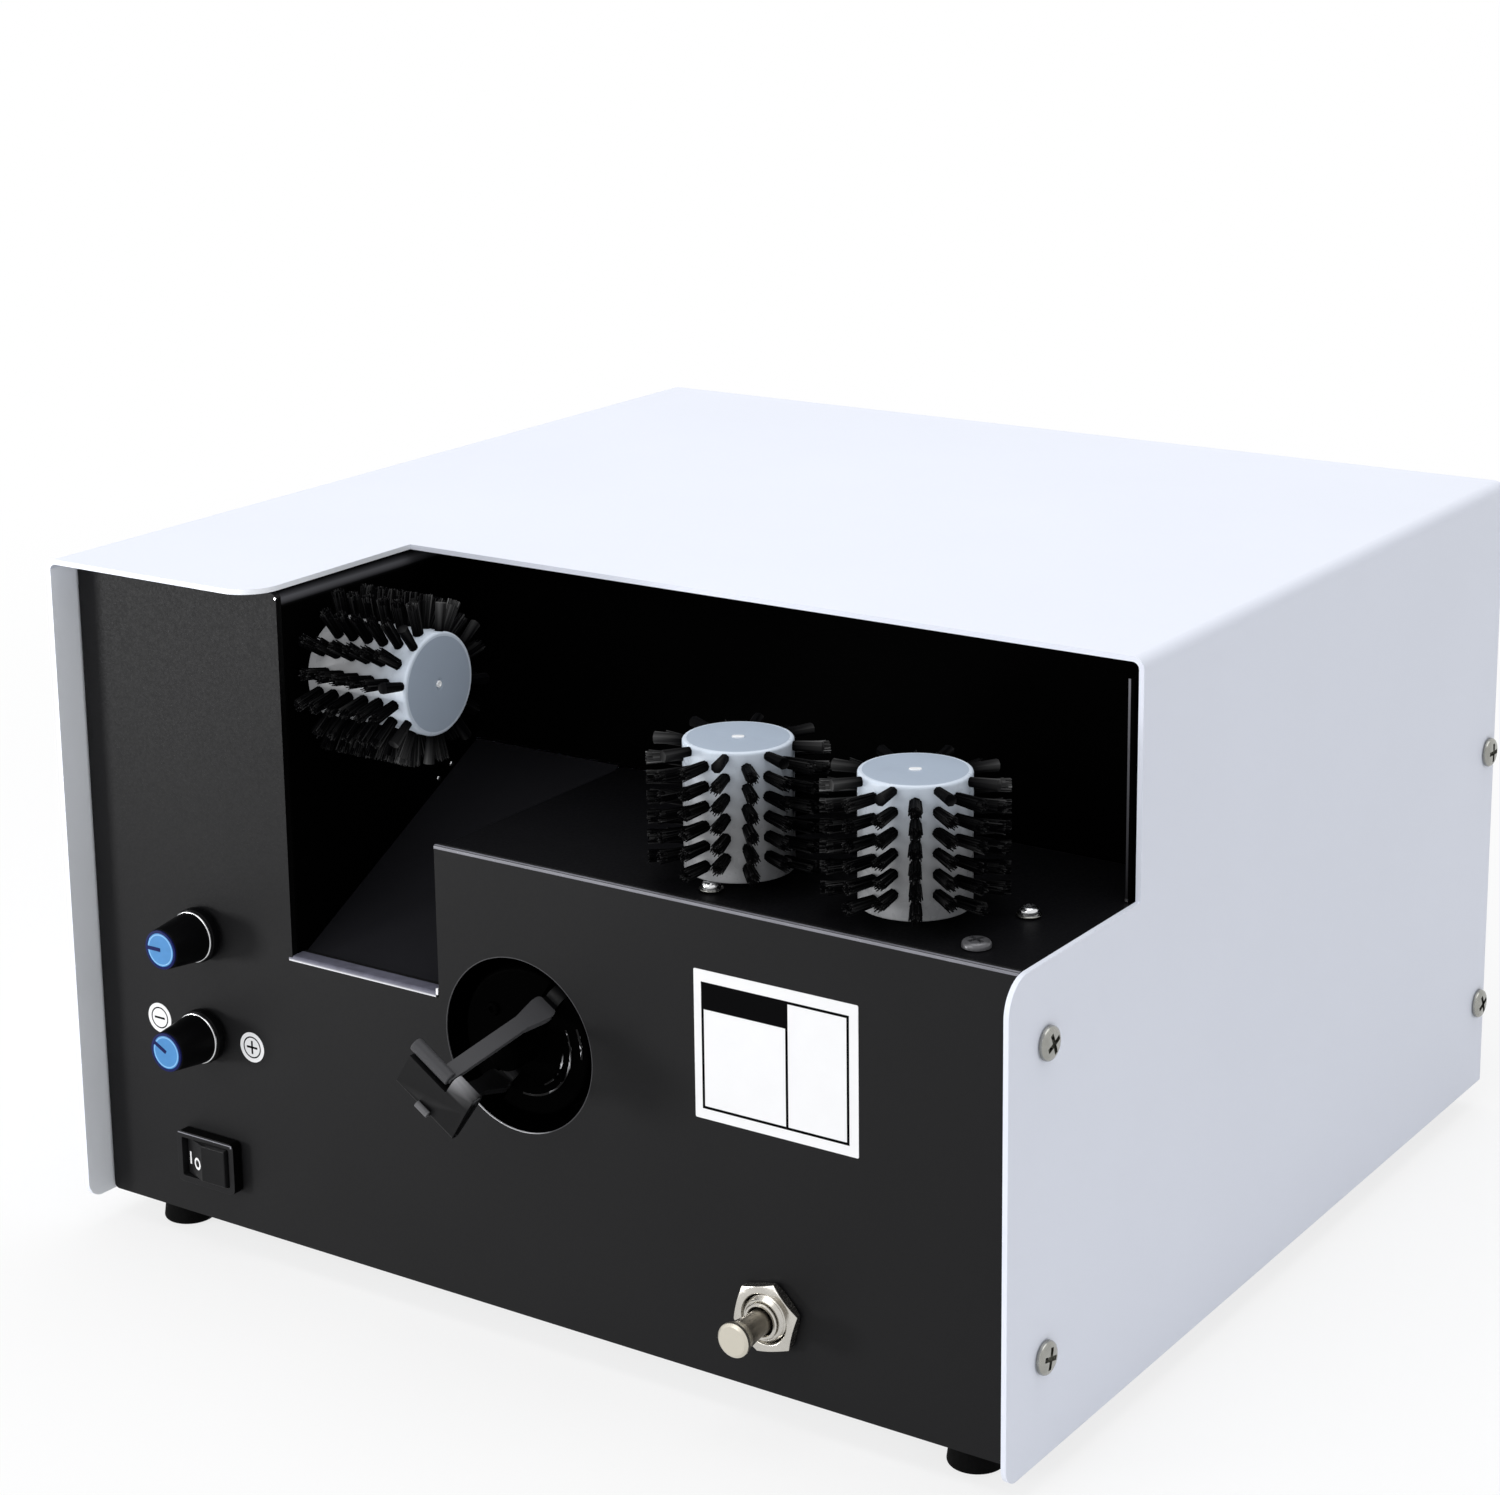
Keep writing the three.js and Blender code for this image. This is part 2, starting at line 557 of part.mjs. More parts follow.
const aroundPoint = (centre, radius, angle) =>
  new THREE.Vector2(centre[0] + radius * Math.cos(angle), centre[1] + radius * Math.sin(angle));

// Half angle of an involute tooth at a radius, seen from the gear's centre
function toothHalfAngle(radius, pitchRadius, teeth) {
  const pressure = toothForm.pressureAngle * degree;
  const involute = (angle) => Math.tan(angle) - angle;
  const base = pitchRadius * Math.cos(pressure);
  const here = radius > base ? Math.acos(base / radius) : 0;
  const halfTooth = (Math.PI / (2 * teeth)) * (1 - toothForm.backlashShare);
  return halfTooth + involute(pressure) - involute(here);
}

// Spur gear outline about a centre, each flank the chord of its involute, with a tooth at the given phase
function gearShape(centre, toothSize, teeth, phase = 0) {
  const pitchRadius = (toothSize * teeth) / 2;
  const root = pitchRadius - toothSize * toothForm.rootShare;
  const tip = pitchRadius + toothSize * toothForm.tipShare;
  const points = [];
  for (let tooth = 0; tooth < teeth; tooth += 1) {
    const middle = phase + (2 * Math.PI * tooth) / teeth;
    [[root, -1], [tip, -1], [tip, 1], [root, 1]].forEach(([radius, side]) => {
      points.push(aroundPoint(centre, radius, middle + side * toothHalfAngle(radius, pitchRadius, teeth)));
    });
  }
  return new THREE.Shape(points);
}

const brushGearShape = (centre) => gearShape(centre, brushGear.toothSize, brushGear.teeth);
const idlerPlaces = Array.from({ length: idlers }, (_, i) =>
  [leftBrush + (i + 1) * gearPitch, brushPlace.depth]);

// Gear shafts of the standing brushes: gear below, shaft up into the hub, stub into the motor
function buildGearShafts() {
  const top = hubStart + brush.boreDepth - gap;
  const places = { left: leftBrush, right: rightBrush };
  Object.entries(places).forEach(([side, x]) => {
    const centre = [x, brushPlace.depth];
    const low = side === "left" ? gearPlateUnder - motor.shaftDepth : gearPlateUnder;
    const shaft = join(
      rod("z", centre, brush.shaft, gearUnder - gap / 2, top),
      rod("z", centre, motor.shaft, low, gearTop, facets.smallSides),
      drawn("z", brushGearShape(centre), gearUnder, gearTop),
    );
    add(`brush_shaft_${side}`, shaft, "steel");
  });
  idlerPlaces.forEach((centre, i) => {
    const gear = cut(
      drawn("z", brushGearShape(centre), gearUnder, gearTop),
      rod("z", centre, gearPlate.stud + running, gearUnder - overrun, gearTop + overrun, facets.smallSides),
    );
    add(`idler_gear_${i + 1}`, gear, "brass");
  });
}

// Gear plate: hangs on four posts under the shelf and carries the idlers' studs
function buildGearPlate() {
  const { margin, thickness, post, stud } = gearPlate;
  const rim = post + thickness;
  const x = [leftBrush - margin, rightBrush + gearPlate.postReach + rim];
  const y = [brushPlace.depth - gearPlate.postOffset - rim, brushPlace.depth + gearPlate.postOffset + rim];
  const rounded = outline([[x[0], y[0], rim], [x[1], y[0], rim], [x[1], y[1], rim], [x[0], y[1], rim]]);
  const plate = drawn("z", rounded, gearPlateUnder, gearPlateTop);
  const posts = Object.values(postPlaces).map((place) =>
    rod("z", place, post, gearPlateUnder, shelfUnder - gap, facets.smallSides));
  const studs = idlerPlaces.map((place) =>
    rod("z", place, stud, gearPlateUnder, gearTop + overrun, facets.smallSides));
  const through = [gearPlateUnder - overrun, gearPlateTop + overrun];
  const shaftHoles = [leftBrush, rightBrush].map((x) =>
    rod("z", [x, brushPlace.depth], motor.shaft + running, ...through, facets.smallSides));
  const threads = Object.values(postPlaces).map((place) =>
    rod("z", place, shelfScrew.hole, shelfUnder - shelfScrew.depth - gap, shelfUnder, facets.smallSides));
  add("gear_plate", cut(join(plate, posts, studs), shaftHoles, threads), "zinc");
}

// Gear motor along an axis, with its mounting face at one place and its body on the given side
function motorSolid(axis, centre, face, way) {
  const { radius, length, chamfer, tail } = motor;
  const at = (along) => face + way * along;
  const bore = motor.shaft + running;
  const boreEnd = at(motor.shaftDepth + motor.bossLength);
  const tailEnd = at(length + motor.tailLength);
  const profile = [
    [0, boreEnd], [bore, boreEnd], [bore, at(0)], [radius - chamfer, at(0)], [radius, at(chamfer)],
    [radius, at(length - chamfer)], [radius - chamfer, at(length)], [tail, at(length)],
    [tail, tailEnd], [0, tailEnd],
  ];
  return turned(axis, centre, sortProfile(profile, way));
}

// Group whose +Z is a brush's axis, with the first row of its tufts turned to an angle about it
function brushFrame(place, rowAngle, tilt = 0) {
  const frame = new THREE.Group();
  frame.position.set(...place);
  frame.rotation.set(0, tilt, rowAngle * degree);
  machine.add(frame);
  return frame;
}

// Core and bristle sleeve of one brush along Z, from its open end at zero to its capped end
function buildBrush(name, frame) {
  const { hub, core, length, chamfer, dimple, collar, collarLength, boreDepth } = brush;
  const bore = brush.shaft + gap;
  const capStart = length - brush.cap;
  const sleeveEnd = capStart - gap;
  const inner = core + brush.sleeveGap;
  const coreProfile = [
    [0, boreDepth], [bore, boreDepth], [bore, -collarLength], [collar, -collarLength],
    [collar, 0], [core, 0], [core, capStart + chamfer], [0, capStart + chamfer],
  ];
  const capProfile = [
    [0, capStart], [hub, capStart], [hub, length - chamfer],
    [hub - chamfer, length], [dimple, length], [0, length - brush.dimpleDepth],
  ];
  const sleeveProfile = [[inner, 0], [hub, 0], [hub, sleeveEnd], [inner, sleeveEnd], [inner, 0]];
  const [cap, sleeve] = [capProfile, sleeveProfile].map((profile) =>
    turned("z", [0, 0], profile, facets.brushSides, Math.PI / facets.brushSides));
  add(`brush_hub_${name}`, join(turned("z", [0, 0], coreProfile), cap), "nylon", frame);
  add(`bristles_${name}`, join(sleeve, ...tufts(length / 2)), "bristle", frame);
}

// Four-sided bristle tufts in rows around a hub, every other row shifted by half a pitch
function tufts(middle) {
  const { hub, reach, sink, tuftRoot, tuftTip, tuftPitch } = brush;
  const apothem = hub * Math.cos(Math.PI / facets.brushSides);
  const tuftLength = reach - apothem + sink;
  const all = [];
  for (let row = 0; row < brushRows; row += 1) {
    const count = tuftsInRow - (row % 2);
    for (let i = 0; i < count; i += 1) {
      const tuft = new THREE.CylinderGeometry(
        tuftTip * Math.SQRT2, tuftRoot * Math.SQRT2, tuftLength, facets.tuftSides);
      tuft.rotateY(Math.PI / facets.tuftSides);
      tuft.rotateZ(-Math.PI / 2);
      tuft.translate(apothem - sink + tuftLength / 2, 0, middle + (i - (count - 1) / 2) * tuftPitch);
      tuft.rotateZ((2 * Math.PI * row) / brushRows);
      all.push(solidOf(tuft));
    }
  }
  return all;
}

// The side brush hangs on its own motor's shaft, which passes the tower wall
function buildSideBrush() {
  const centre = [brushPlace.depth, sideBrushHeight];
  const start = tower.edge + brushPlace.standoff;
  const motorFace = tower.edge - tower.sheet - gap;
  buildBrush("side", brushFrame([start, ...centre], brushPlace.sideRowAngle, Math.PI / 2));
  add("brush_shaft_side", join(
    rod("x", centre, brush.shaft, tower.edge, start + brush.boreDepth - gap),
    rod("x", centre, motor.shaft, motorFace - motor.shaftDepth, tower.edge + gap, facets.smallSides),
  ), "steel");
  add("side_brush_motor", motorSolid("x", centre, motorFace, -1), "zinc");
}

function buildStandingBrushes() {
  buildBrush("left", brushFrame([leftBrush, brushPlace.depth, hubStart], brushPlace.leftRowAngle));
  buildBrush("right", brushFrame([rightBrush, brushPlace.depth, hubStart], brushPlace.rightRowAngle));
  add("brush_motor", motorSolid("z", [leftBrush, brushPlace.depth], gearPlateUnder - gap, -1), "zinc");
}

// Twisting head, leaning as it stands at rest
const head = new THREE.Group();
head.position.set(twistPlace, 0, spindleHeight);
head.rotation.y = twist.leanAngle * degree;
machine.add(head);

const pivotDepth = rotor.front + lever.pivotBack;
const barrelStart = rotor.front + rotor.thickness;
const barrelEnd = barrelStart + rotor.barrelLength;
const barrelBoreEnd = barrelEnd - rotor.thickness / 2;

// Rotor and hollow spindle in one turned piece, slotted for the levers, with their pivot pins
function buildSpindle() {
  const { front, disc, edge, nose, noseTip, noseRound, barrel, barrelBore, shaft, bore, rear } = rotor;
  const body = turned("y", [0, 0], [
    [0, noseTip], [nose - noseRound, noseTip], [nose, noseTip + noseRound], [nose, front],
    [disc - edge, front], [disc, front + edge], [disc, barrelStart], [barrel, barrelStart],
    [barrel, barrelEnd],
    [shaft, barrelEnd], [shaft, rear], [bore, rear], [bore, barrelBoreEnd], [barrelBore, barrelBoreEnd],
    [barrelBore, barrelStart], [0, barrelStart],
  ], facets.largeSides);
  const slots = [-1, 1].map((side) => {
    const ends = [side * rotor.slotInner, side * (disc + overrun)].sort((a, b) => a - b);
    return block([-rotor.slot / 2, rotor.slot / 2], [front - overrun, front + rotor.slotLength], ends);
  });
  const pinSpan = [-lever.pinLength / 2, lever.pinLength / 2];
  const pins = [-1, 1].map((side) =>
    rod("x", [pivotDepth, side * lever.pivot], lever.pin, ...pinSpan, facets.smallSides));
  const screws = [-1, 1].map((side) => rod("y", [side * rotor.screwCircle, 0], rotor.screwHead,
    front - rotor.screwRise, front + rotor.screwRise, facets.smallSides));
  add("spindle", join(cut(body, slots), pins, screws), "blackSteel", head);
}

// Radius of the push rod's cone at a depth, with the rod in its rest place
function coneRadiusAt(depth) {
  const { coneFront, coneRear, coneLength, coneStart } = pushRod;
  return coneFront + ((coneRear - coneFront) * (depth - barrelStart - coneStart)) / coneLength;
}

// Jaw lever in the plane of the spindle: eye, bar to the front, tail down to the cone
function leverSolid(side, tip, reach) {
  const eye = [pivotDepth, side * lever.pivot];
  const half = lever.thickness / 2;
  const bar = barOutline(eye, [-reach, side * tip], half);
  const tailDepth = pivotDepth + lever.tailReach;
  const tailHeight = coneRadiusAt(tailDepth + lever.tailRadius) + gap + lever.tailRadius;
  const tail = barOutline(eye, [tailDepth, side * tailHeight], lever.tailRadius);
  const across = [-lever.lug, lever.lug];
  const pieces = [
    drawn("x", bar, ...across),
    drawn("x", tail, ...across, facets.bendSteps),
    rod("x", eye, lever.eye, ...across),
  ];
  const plan = drawn("z", leverPlan(reach, tailDepth), -rotor.disc, rotor.disc, facets.bendSteps);
  const bore = rod("x", eye, lever.pin + gap, across[0] - overrun, across[1] + overrun, facets.smallSides);
  return { solid: wasm.Manifold.intersection([join(pieces), plan]), bore };
}

// Plan of a lever: narrow bar in front, flared to a lug before the rotor, narrow again in its slot
function leverPlan(reach, tailDepth) {
  const { width, lug, lugGap, lugLength, flare, flareRound, tailRadius } = lever;
  const half = width / 2;
  const lugEnd = rotor.front - lugGap;
  const front = -(reach + width);
  const rear = tailDepth + tailRadius + overrun;
  const right = [
    [half, front], [half, lugEnd - lugLength - flare, flareRound], [lug, lugEnd - lugLength, flareRound],
    [lug, lugEnd], [half, lugEnd], [half, rear],
  ];
  const left = right.slice().reverse().map(([across, depth, radius]) => [-across, depth, radius]);
  return outline([...right, ...left]);
}

// Straight bar between two points, with a round end
function barOutline(from, to, half) {
  const start = new THREE.Vector2(...from);
  const end = new THREE.Vector2(...to);
  const along = end.clone().sub(start).normalize();
  const sideways = new THREE.Vector2(-along.y, along.x).multiplyScalar(half);
  const tip = end.clone().addScaledVector(along, half);
  return outline([
    start.clone().add(sideways), start.clone().sub(sideways),
    tip.clone().sub(sideways), tip.clone().add(sideways),
  ].map((point, i) => [point.x, point.y, i > 1 ? half * roundShare : 0]));
}

// Upper jaw: lever whose front end carries a cross roller over the left half of the nip
function buildUpperJaw() {
  const { solid, bore } = leverSolid(1, upperJaw.height, upperJaw.reach);
  const roller = rod("x", [-upperJaw.reach, upperJaw.height], upperJaw.roller,
    -upperJaw.rollerStart, upperJaw.rollerEnd);
  add("upper_jaw", cut(join(solid, roller), bore), "blackSteel", head);
}

// Lower jaw: lever through a rounded jaw plate, whose right half rises beside the roller
function buildLowerJaw() {
  const { reach, blockBack, blockHalf, shoulder, nipGap, bottom, toe, barHeight, seam } = lowerJaw;
  const { solid, bore } = leverSolid(-1, barHeight, reach + blockBack + lowerJaw.tip - lever.thickness / 2);
  const rounded = (top) => outline([
    [-reach - toe, -bottom, toe * roundShare], [-reach + toe, -bottom, toe * roundShare],
    [-reach + blockBack, top - blockBack, blockBack / 2],
    [-reach + blockBack, top, blockBack * roundShare], [-reach - blockBack, top, blockBack * roundShare],
    [-reach - blockBack, top - blockBack, blockBack / 2],
  ]);
  const nipTop = upperJaw.height - upperJaw.roller - nipGap;
  const rollerClear = upperJaw.rollerEnd + seam;
  const plate = join(
    drawn("x", rounded(nipTop), -blockHalf, rollerClear + seam, facets.bendSteps),
    drawn("x", rounded(shoulder), rollerClear, blockHalf, facets.bendSteps),
  );
  const hollow = drawn("x", outline([
    [-reach, -bottom + 2 * toe], [-reach + blockBack / 2, 0], [-reach, shoulder - blockBack],
    [-reach - blockBack / 2, 0],
  ]), blockHalf - lowerJaw.recess, blockHalf + overrun);
  add("lower_jaw", cut(join(solid, plate), bore, hollow), "blackSteel", head);
}

// Push rod: its cone spreads the levers' tails, its stem runs back through the spindle
function buildPushRod() {
  const { radius, coneFront, coneRear, coneLength, coneStart, land, tail } = pushRod;
  const start = barrelStart + coneStart;
  const profile = [
    [0, start], [coneFront, start], [coneRear, start + coneLength], [coneRear, start + coneLength + land],
    [radius, start + coneLength + land], [radius, rotor.rear + tail - gap], [0, rotor.rear + tail - gap],
  ];
  add("push_rod", turned("y", [0, 0], profile), "steel", head);
}

// Spindle frame: foot with a bearing wall in front and the motor's wall behind the gears
function buildSpindleFrame() {
  const { frontWall, frontThickness, rearWall, rearThickness, width, shoulder, soleThickness, soleReach } =
    spindleFrame;
  const foundation = baseTop + gap;
  const half = width / 2;
  const [left, right] = [twistPlace - half, twistPlace + half];
  const crest = spindleHeight + shoulder;
  const wall = outline([
    [left, foundation], [right, foundation], [right, crest, shoulder / 2], [left, crest, shoulder / 2]]);
  const rearEnd = rearWall + rearThickness;
  const frame = join(
    drawn("y", wall, frontWall, frontWall + frontThickness),
    drawn("y", wall, rearWall, rearEnd),
    block([left, right], [frontWall - soleReach, rearEnd + soleReach],
      [foundation, foundation + soleThickness]),
  );
  const spindleHole = rod("y", [twistPlace, spindleHeight], rotor.shaft + running, frontWall - overrun,
    rearEnd + overrun);
  const motorHole = rod("y", [twistPlace, spindleHeight - gearCentres], motor.boss, rearWall - overrun,
    rearEnd + overrun);
  add("spindle_frame", cut(frame, spindleHole, motorHole), "zinc");
}

// Spindle gear with its clamping hub, and the motor's pinion shaft in mesh under it
function buildSpindleGears() {
  const { toothSize, teeth, width, start, hub, hubLength } = spindleGear;
  const centre = [twistPlace, spindleHeight];
  const low = [twistPlace, spindleHeight - gearCentres];
  const gear = cut(
    join(
      drawn("y", gearShape(centre, toothSize, teeth), start, start + width),
      rod("y", centre, hub, start - hubLength, start + width),
    ),
    rod("y", centre, rotor.shaft + gap, start - hubLength - overrun, start + width + overrun),
  );
  add("spindle_gear", gear, "steel");
  const rearEnd = spindleFrame.rearWall + spindleFrame.rearThickness;
  const pinion = join(
    drawn("y", gearShape(low, toothSize, pinionTeeth, Math.PI / pinionTeeth), start, start + width),
    rod("y", low, motor.shaft, start - hubLength, rearEnd + gap + motor.shaftDepth, facets.smallSides),
  );
  add("motor_pinion", pinion, "brass");
  add("twist_motor", motorSolid("y", low, rearEnd + gap, 1), "zinc");
}

// Solenoid on its bracket, and the plunger that pushes the rod
function buildSolenoid() {
  const { start, length, width, plunger, plungerLength, bracket, soleReach, stroke } = solenoid;
  const half = width / 2;
  const centre = [twistPlace, spindleHeight];
  const foundation = baseTop + gap;
  const coil = [start + stroke, start + stroke + length];
  const side = [twistPlace + motor.radius + bracket, twistPlace + motor.radius + 2 * bracket];
  const arm = [spindleHeight + half, spindleHeight + half + bracket];
  const body = join(
    block([twistPlace - half, twistPlace + half], coil, [spindleHeight - half, spindleHeight + half]),
    block([twistPlace - half, side[1]], coil, arm),
    block(side, coil, [foundation, arm[1]]),
    block([side[0], side[1] + soleReach], coil, [foundation, foundation + bracket]),
  );
  const bore = rod("y", centre, plunger + running, coil[0] - overrun, coil[1] - bracket);
  add("solenoid", cut(body, bore), "blackSteel");
  add("solenoid_plunger", rod("y", centre, plunger, rotor.rear + pushRod.tail,
    rotor.rear + pushRod.tail + plungerLength), "steel");
}

// Speed knob: tapered body with a groove for its bright ring, raised cap, stub shaft in its well
function buildKnob(name, height) {
  const { length, face, crown, skirt, skirtLength, groove, grooveWidth, lift, chamfer } = knob;
  const base = frontPanel.recess - lift;
  const tip = base - length;
  const skirtEdge = base - skirtLength;
  const profile = [
    [0, tip - knob.capRise], [knob.capRadius, tip - knob.capRise], [knob.capRadius, tip],
    [face - chamfer, tip], [face, tip + chamfer],
    [crown, skirtEdge - grooveWidth], [crown - groove, skirtEdge - grooveWidth], [crown - groove, skirtEdge],
    [skirt, skirtEdge], [skirt, base], [knob.well, base], [knob.well, base - knob.wellDepth],
    [knob.shaft, base - knob.wellDepth], [knob.shaft, panelBack + pot.shaftIn], [0, panelBack + pot.shaftIn],
  ];
  add(`knob_${name}`, turned("y", [controls.x, floorEdge + height], profile), "blackPlastic");
}

// Potentiometer behind the panel, with its threaded bush through it
function buildPot(name, height) {
  const { body, bodyLength, bush, bushOut, bore, shaftIn } = pot;
  const face = panelBack + gap;
  const tip = frontPanel.recess - bushOut;
  const well = panelBack + shaftIn + running;
  const profile = [
    [bore, tip], [bush, tip], [bush, face], [body, face], [body, face + bodyLength], [0, face + bodyLength],
    [0, well], [bore, well], [bore, tip],
  ];
  add(`potentiometer_${name}`, turned("y", [controls.x, floorEdge + height], profile), "zinc");
}

function buildControls() {
  buildKnob("upper", controls.upperKnob);
  buildKnob("lower", controls.lowerKnob);
  buildPot("upper", controls.upperKnob);
  buildPot("lower", controls.lowerKnob);
}

// Rocker switch: raised bezel, body behind the panel, terminals, and the rocking key
function buildRocker() {
  const s = rockerSwitch;
  const z = floorEdge + controls.rocker;
  const front = frontPanel.recess - gap;
  const box = (width, height, corner) => outline([
    [controls.x - width / 2, z - height / 2, corner], [controls.x + width / 2, z - height / 2, corner],
    [controls.x + width / 2, z + height / 2, corner], [controls.x - width / 2, z + height / 2, corner]]);
  const terminals = [-1, 0, 1].map((place) => {
    const x = controls.x + place * s.terminalPitch;
    return block([x - s.terminalSheet / 2, x + s.terminalSheet / 2],
      [front + s.bodyDepth - gap, front + s.bodyDepth + s.terminalLength],
      [z - s.terminal / 2, z + s.terminal / 2]);
  });
  const housing = cut(
    join(
      drawn("y", box(s.width, s.height, s.corner), front - s.bezel, front, facets.bendSteps),
      drawn("y", box(s.bodyWidth, s.bodyHeight, gap), front - gap, front + s.bodyDepth, facets.bendSteps),
      terminals,
    ),
    drawn("y", box(s.windowWidth, s.windowHeight, gap), front - s.bezel - overrun, front + s.wellDepth,
      facets.bendSteps),
  );
  add("rocker_housing", housing, "blackPlastic");
  const key = new THREE.Group();
  key.position.set(controls.x, front - s.bezel + rockerKey.pivotBack, z);
  key.rotation.z = -rockerKey.tiltAngle * degree;
  machine.add(key);
  const { halfWidth, height, ridge, root, pivotBack, flank } = rockerKey;
  const shoulder = -pivotBack + flank;
  const profile = outline([
    [-halfWidth, shoulder, flank / 2], [0, -pivotBack - ridge, flank], [halfWidth, shoulder, flank / 2],
    [halfWidth - flank, root], [-halfWidth + flank, root],
  ]);
  add("rocker", drawn("z", profile, -height / 2, height / 2, facets.bendSteps), "blackPlastic", key);
}

// Push button: threaded bush with its body behind the panel, hexagon nut, mushroom plunger
function buildButton() {
  const b = button;
  const z = floorEdge + controls.buttonHeight;
  const centre = [buttonPlace, z];
  const front = frontPanel.recess;
  const bushFront = front - b.bushOut;
  const bodyStart = panelBack + b.bushIn;
  const bush = turned("y", centre, [
    [b.bushBore, bushFront], [b.ring, bushFront], [b.ring, bushFront + b.ringStep],
    [b.bush, bushFront + b.ringStep], [b.bush, panelBack + gap], [b.body, panelBack + gap],
    [b.body, bodyStart + b.bodyLength], [0, bodyStart + b.bodyLength], [0, bodyStart],
    [b.bushBore, bodyStart], [b.bushBore, bushFront],
  ]);
  add("button_bush", bush, "steel");
  const corner = b.nutFlats / 2 / Math.cos(Math.PI / facets.nutSides);
  const hexagon = new THREE.Shape(Array.from({ length: facets.nutSides }, (_, i) => {
    const angle = (2 * Math.PI * i) / facets.nutSides;
    return new THREE.Vector2(centre[0] + corner * Math.cos(angle), centre[1] + corner * Math.sin(angle));
  }));
  hexagon.holes.push(ring(...centre, b.bush + gap));
  const nut = drawn("y", hexagon, front - gap - b.nutThickness, front - gap, facets.mediumSides / 2);
  add("button_nut", nut, "steel");
  const tip = front - b.reach;
  const plunger = turned("y", centre, [
    [0, tip], [b.head - b.headRound, tip], [b.head, tip + b.headRound], [b.head, tip + b.headLength],
    [b.neck, tip + b.headLength], [b.neck, front + b.stem], [0, front + b.stem],
  ], facets.mediumSides);
  add("button_plunger", plunger, "steel");
}

// Appliance inlet with three pins in its cavity, seated on the rear panel
function buildInlet() {
  const i = inlet;
  const z = floorEdge + i.height;
  const face = rearFace + gap;
  const box = (width, tall, corner) => outline([
    [i.x - width / 2, z - tall / 2, corner], [i.x + width / 2, z - tall / 2, corner],
    [i.x + width / 2, z + tall / 2], [i.x - width / 2, z + tall / 2]]);
  const flange = box(i.flangeWidth, i.flangeTall, i.corner);
  [-1, 1].forEach((side) => flange.holes.push(ring(i.x + (side * i.screwPitch) / 2, z, i.screwHole)));
  const back = rearFace + i.flange - i.depth;
  const cavityFloor = rearFace + i.flange - i.cavityDepth;
  const shell = cut(
    join(drawn("y", flange, face, face + i.flange - gap, facets.bendSteps),
      drawn("y", box(i.width, i.tall, i.corner), back, face + gap, facets.bendSteps)),
    drawn("y", box(i.cavityWidth, i.cavityTall, i.corner), cavityFloor, face + i.flange + overrun,
      facets.bendSteps),
  );
  const pins = [-1, 0, 1].map((place) => {
    const x = i.x + place * i.pinPitch;
    const rise = place === 0 ? z + i.pinTall / 2 : z - i.pinTall / 2;
    return block([x - i.pinWidth / 2, x + i.pinWidth / 2], [cavityFloor - gap, cavityFloor + i.pinRise],
      [rise - i.pinTall / 2, rise + i.pinTall / 2]);
  });
  add("power_inlet", join(shell, pins), "blackPlastic");
}

// Power supply: closed case with vent grooves across its lid
function buildSupply() {
  const s = supply;
  const low = baseTop + gap;
  const rear = rearInner - s.rearSpace;
  const slots = Array.from({ length: supplySlots }, (_, i) => {
    const y = rear - s.depth / 2 + (i - (supplySlots - 1) / 2) * s.slotPitch;
    return block([s.x + s.slotInset, s.x + s.width - s.slotInset], [y - s.slotWidth / 2, y + s.slotWidth / 2],
      [low + s.height - s.slotDepth, low + s.height + overrun]);
  });
  const shell = block([s.x, s.x + s.width], [rear - s.depth, rear], [low, low + s.height]);
  add("power_supply", cut(shell, slots), "zinc");
}

buildCover();
buildCoverScrews();
buildFrontPanel();
buildRearPanel();
buildBasePlate();
buildFeet();
buildTowerWall();
buildBayLiner();
buildShelf();
buildChuteFloor();
buildShelfScrews();
buildGearShafts();
buildGearPlate();
buildStandingBrushes();
buildSideBrush();
buildSpindle();
buildUpperJaw();
buildLowerJaw();
buildPushRod();
buildSpindleFrame();
buildSpindleGears();
buildSolenoid();
buildControls();
buildRocker();
buildButton();
buildInlet();
buildSupply();

// Origin: middle of the machine's footprint, on the surface that the feet stand on
machine.position.set(-cover.width / 2, -(frontReach + rearReach) / 2, 0);
const part = new THREE.Group();
part.add(machine);

export default part;
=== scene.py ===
"""Looks of the bench machine that brushes out and twists the braid of screened cable.

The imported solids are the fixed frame. Pieces made here stand for those that need finer edges and
detail, and every other solid gets its finish. Lengths are millimetres in the machine's own frame:
X to the right along the front, Y to the back, Z up from the ground.
"""

import json
import logging
import math
from dataclasses import dataclass, replace
from enum import Enum
from functools import partial, partialmethod
from typing import Callable, Sequence

import bmesh
import bpy
from mathutils import Matrix, Vector, noise


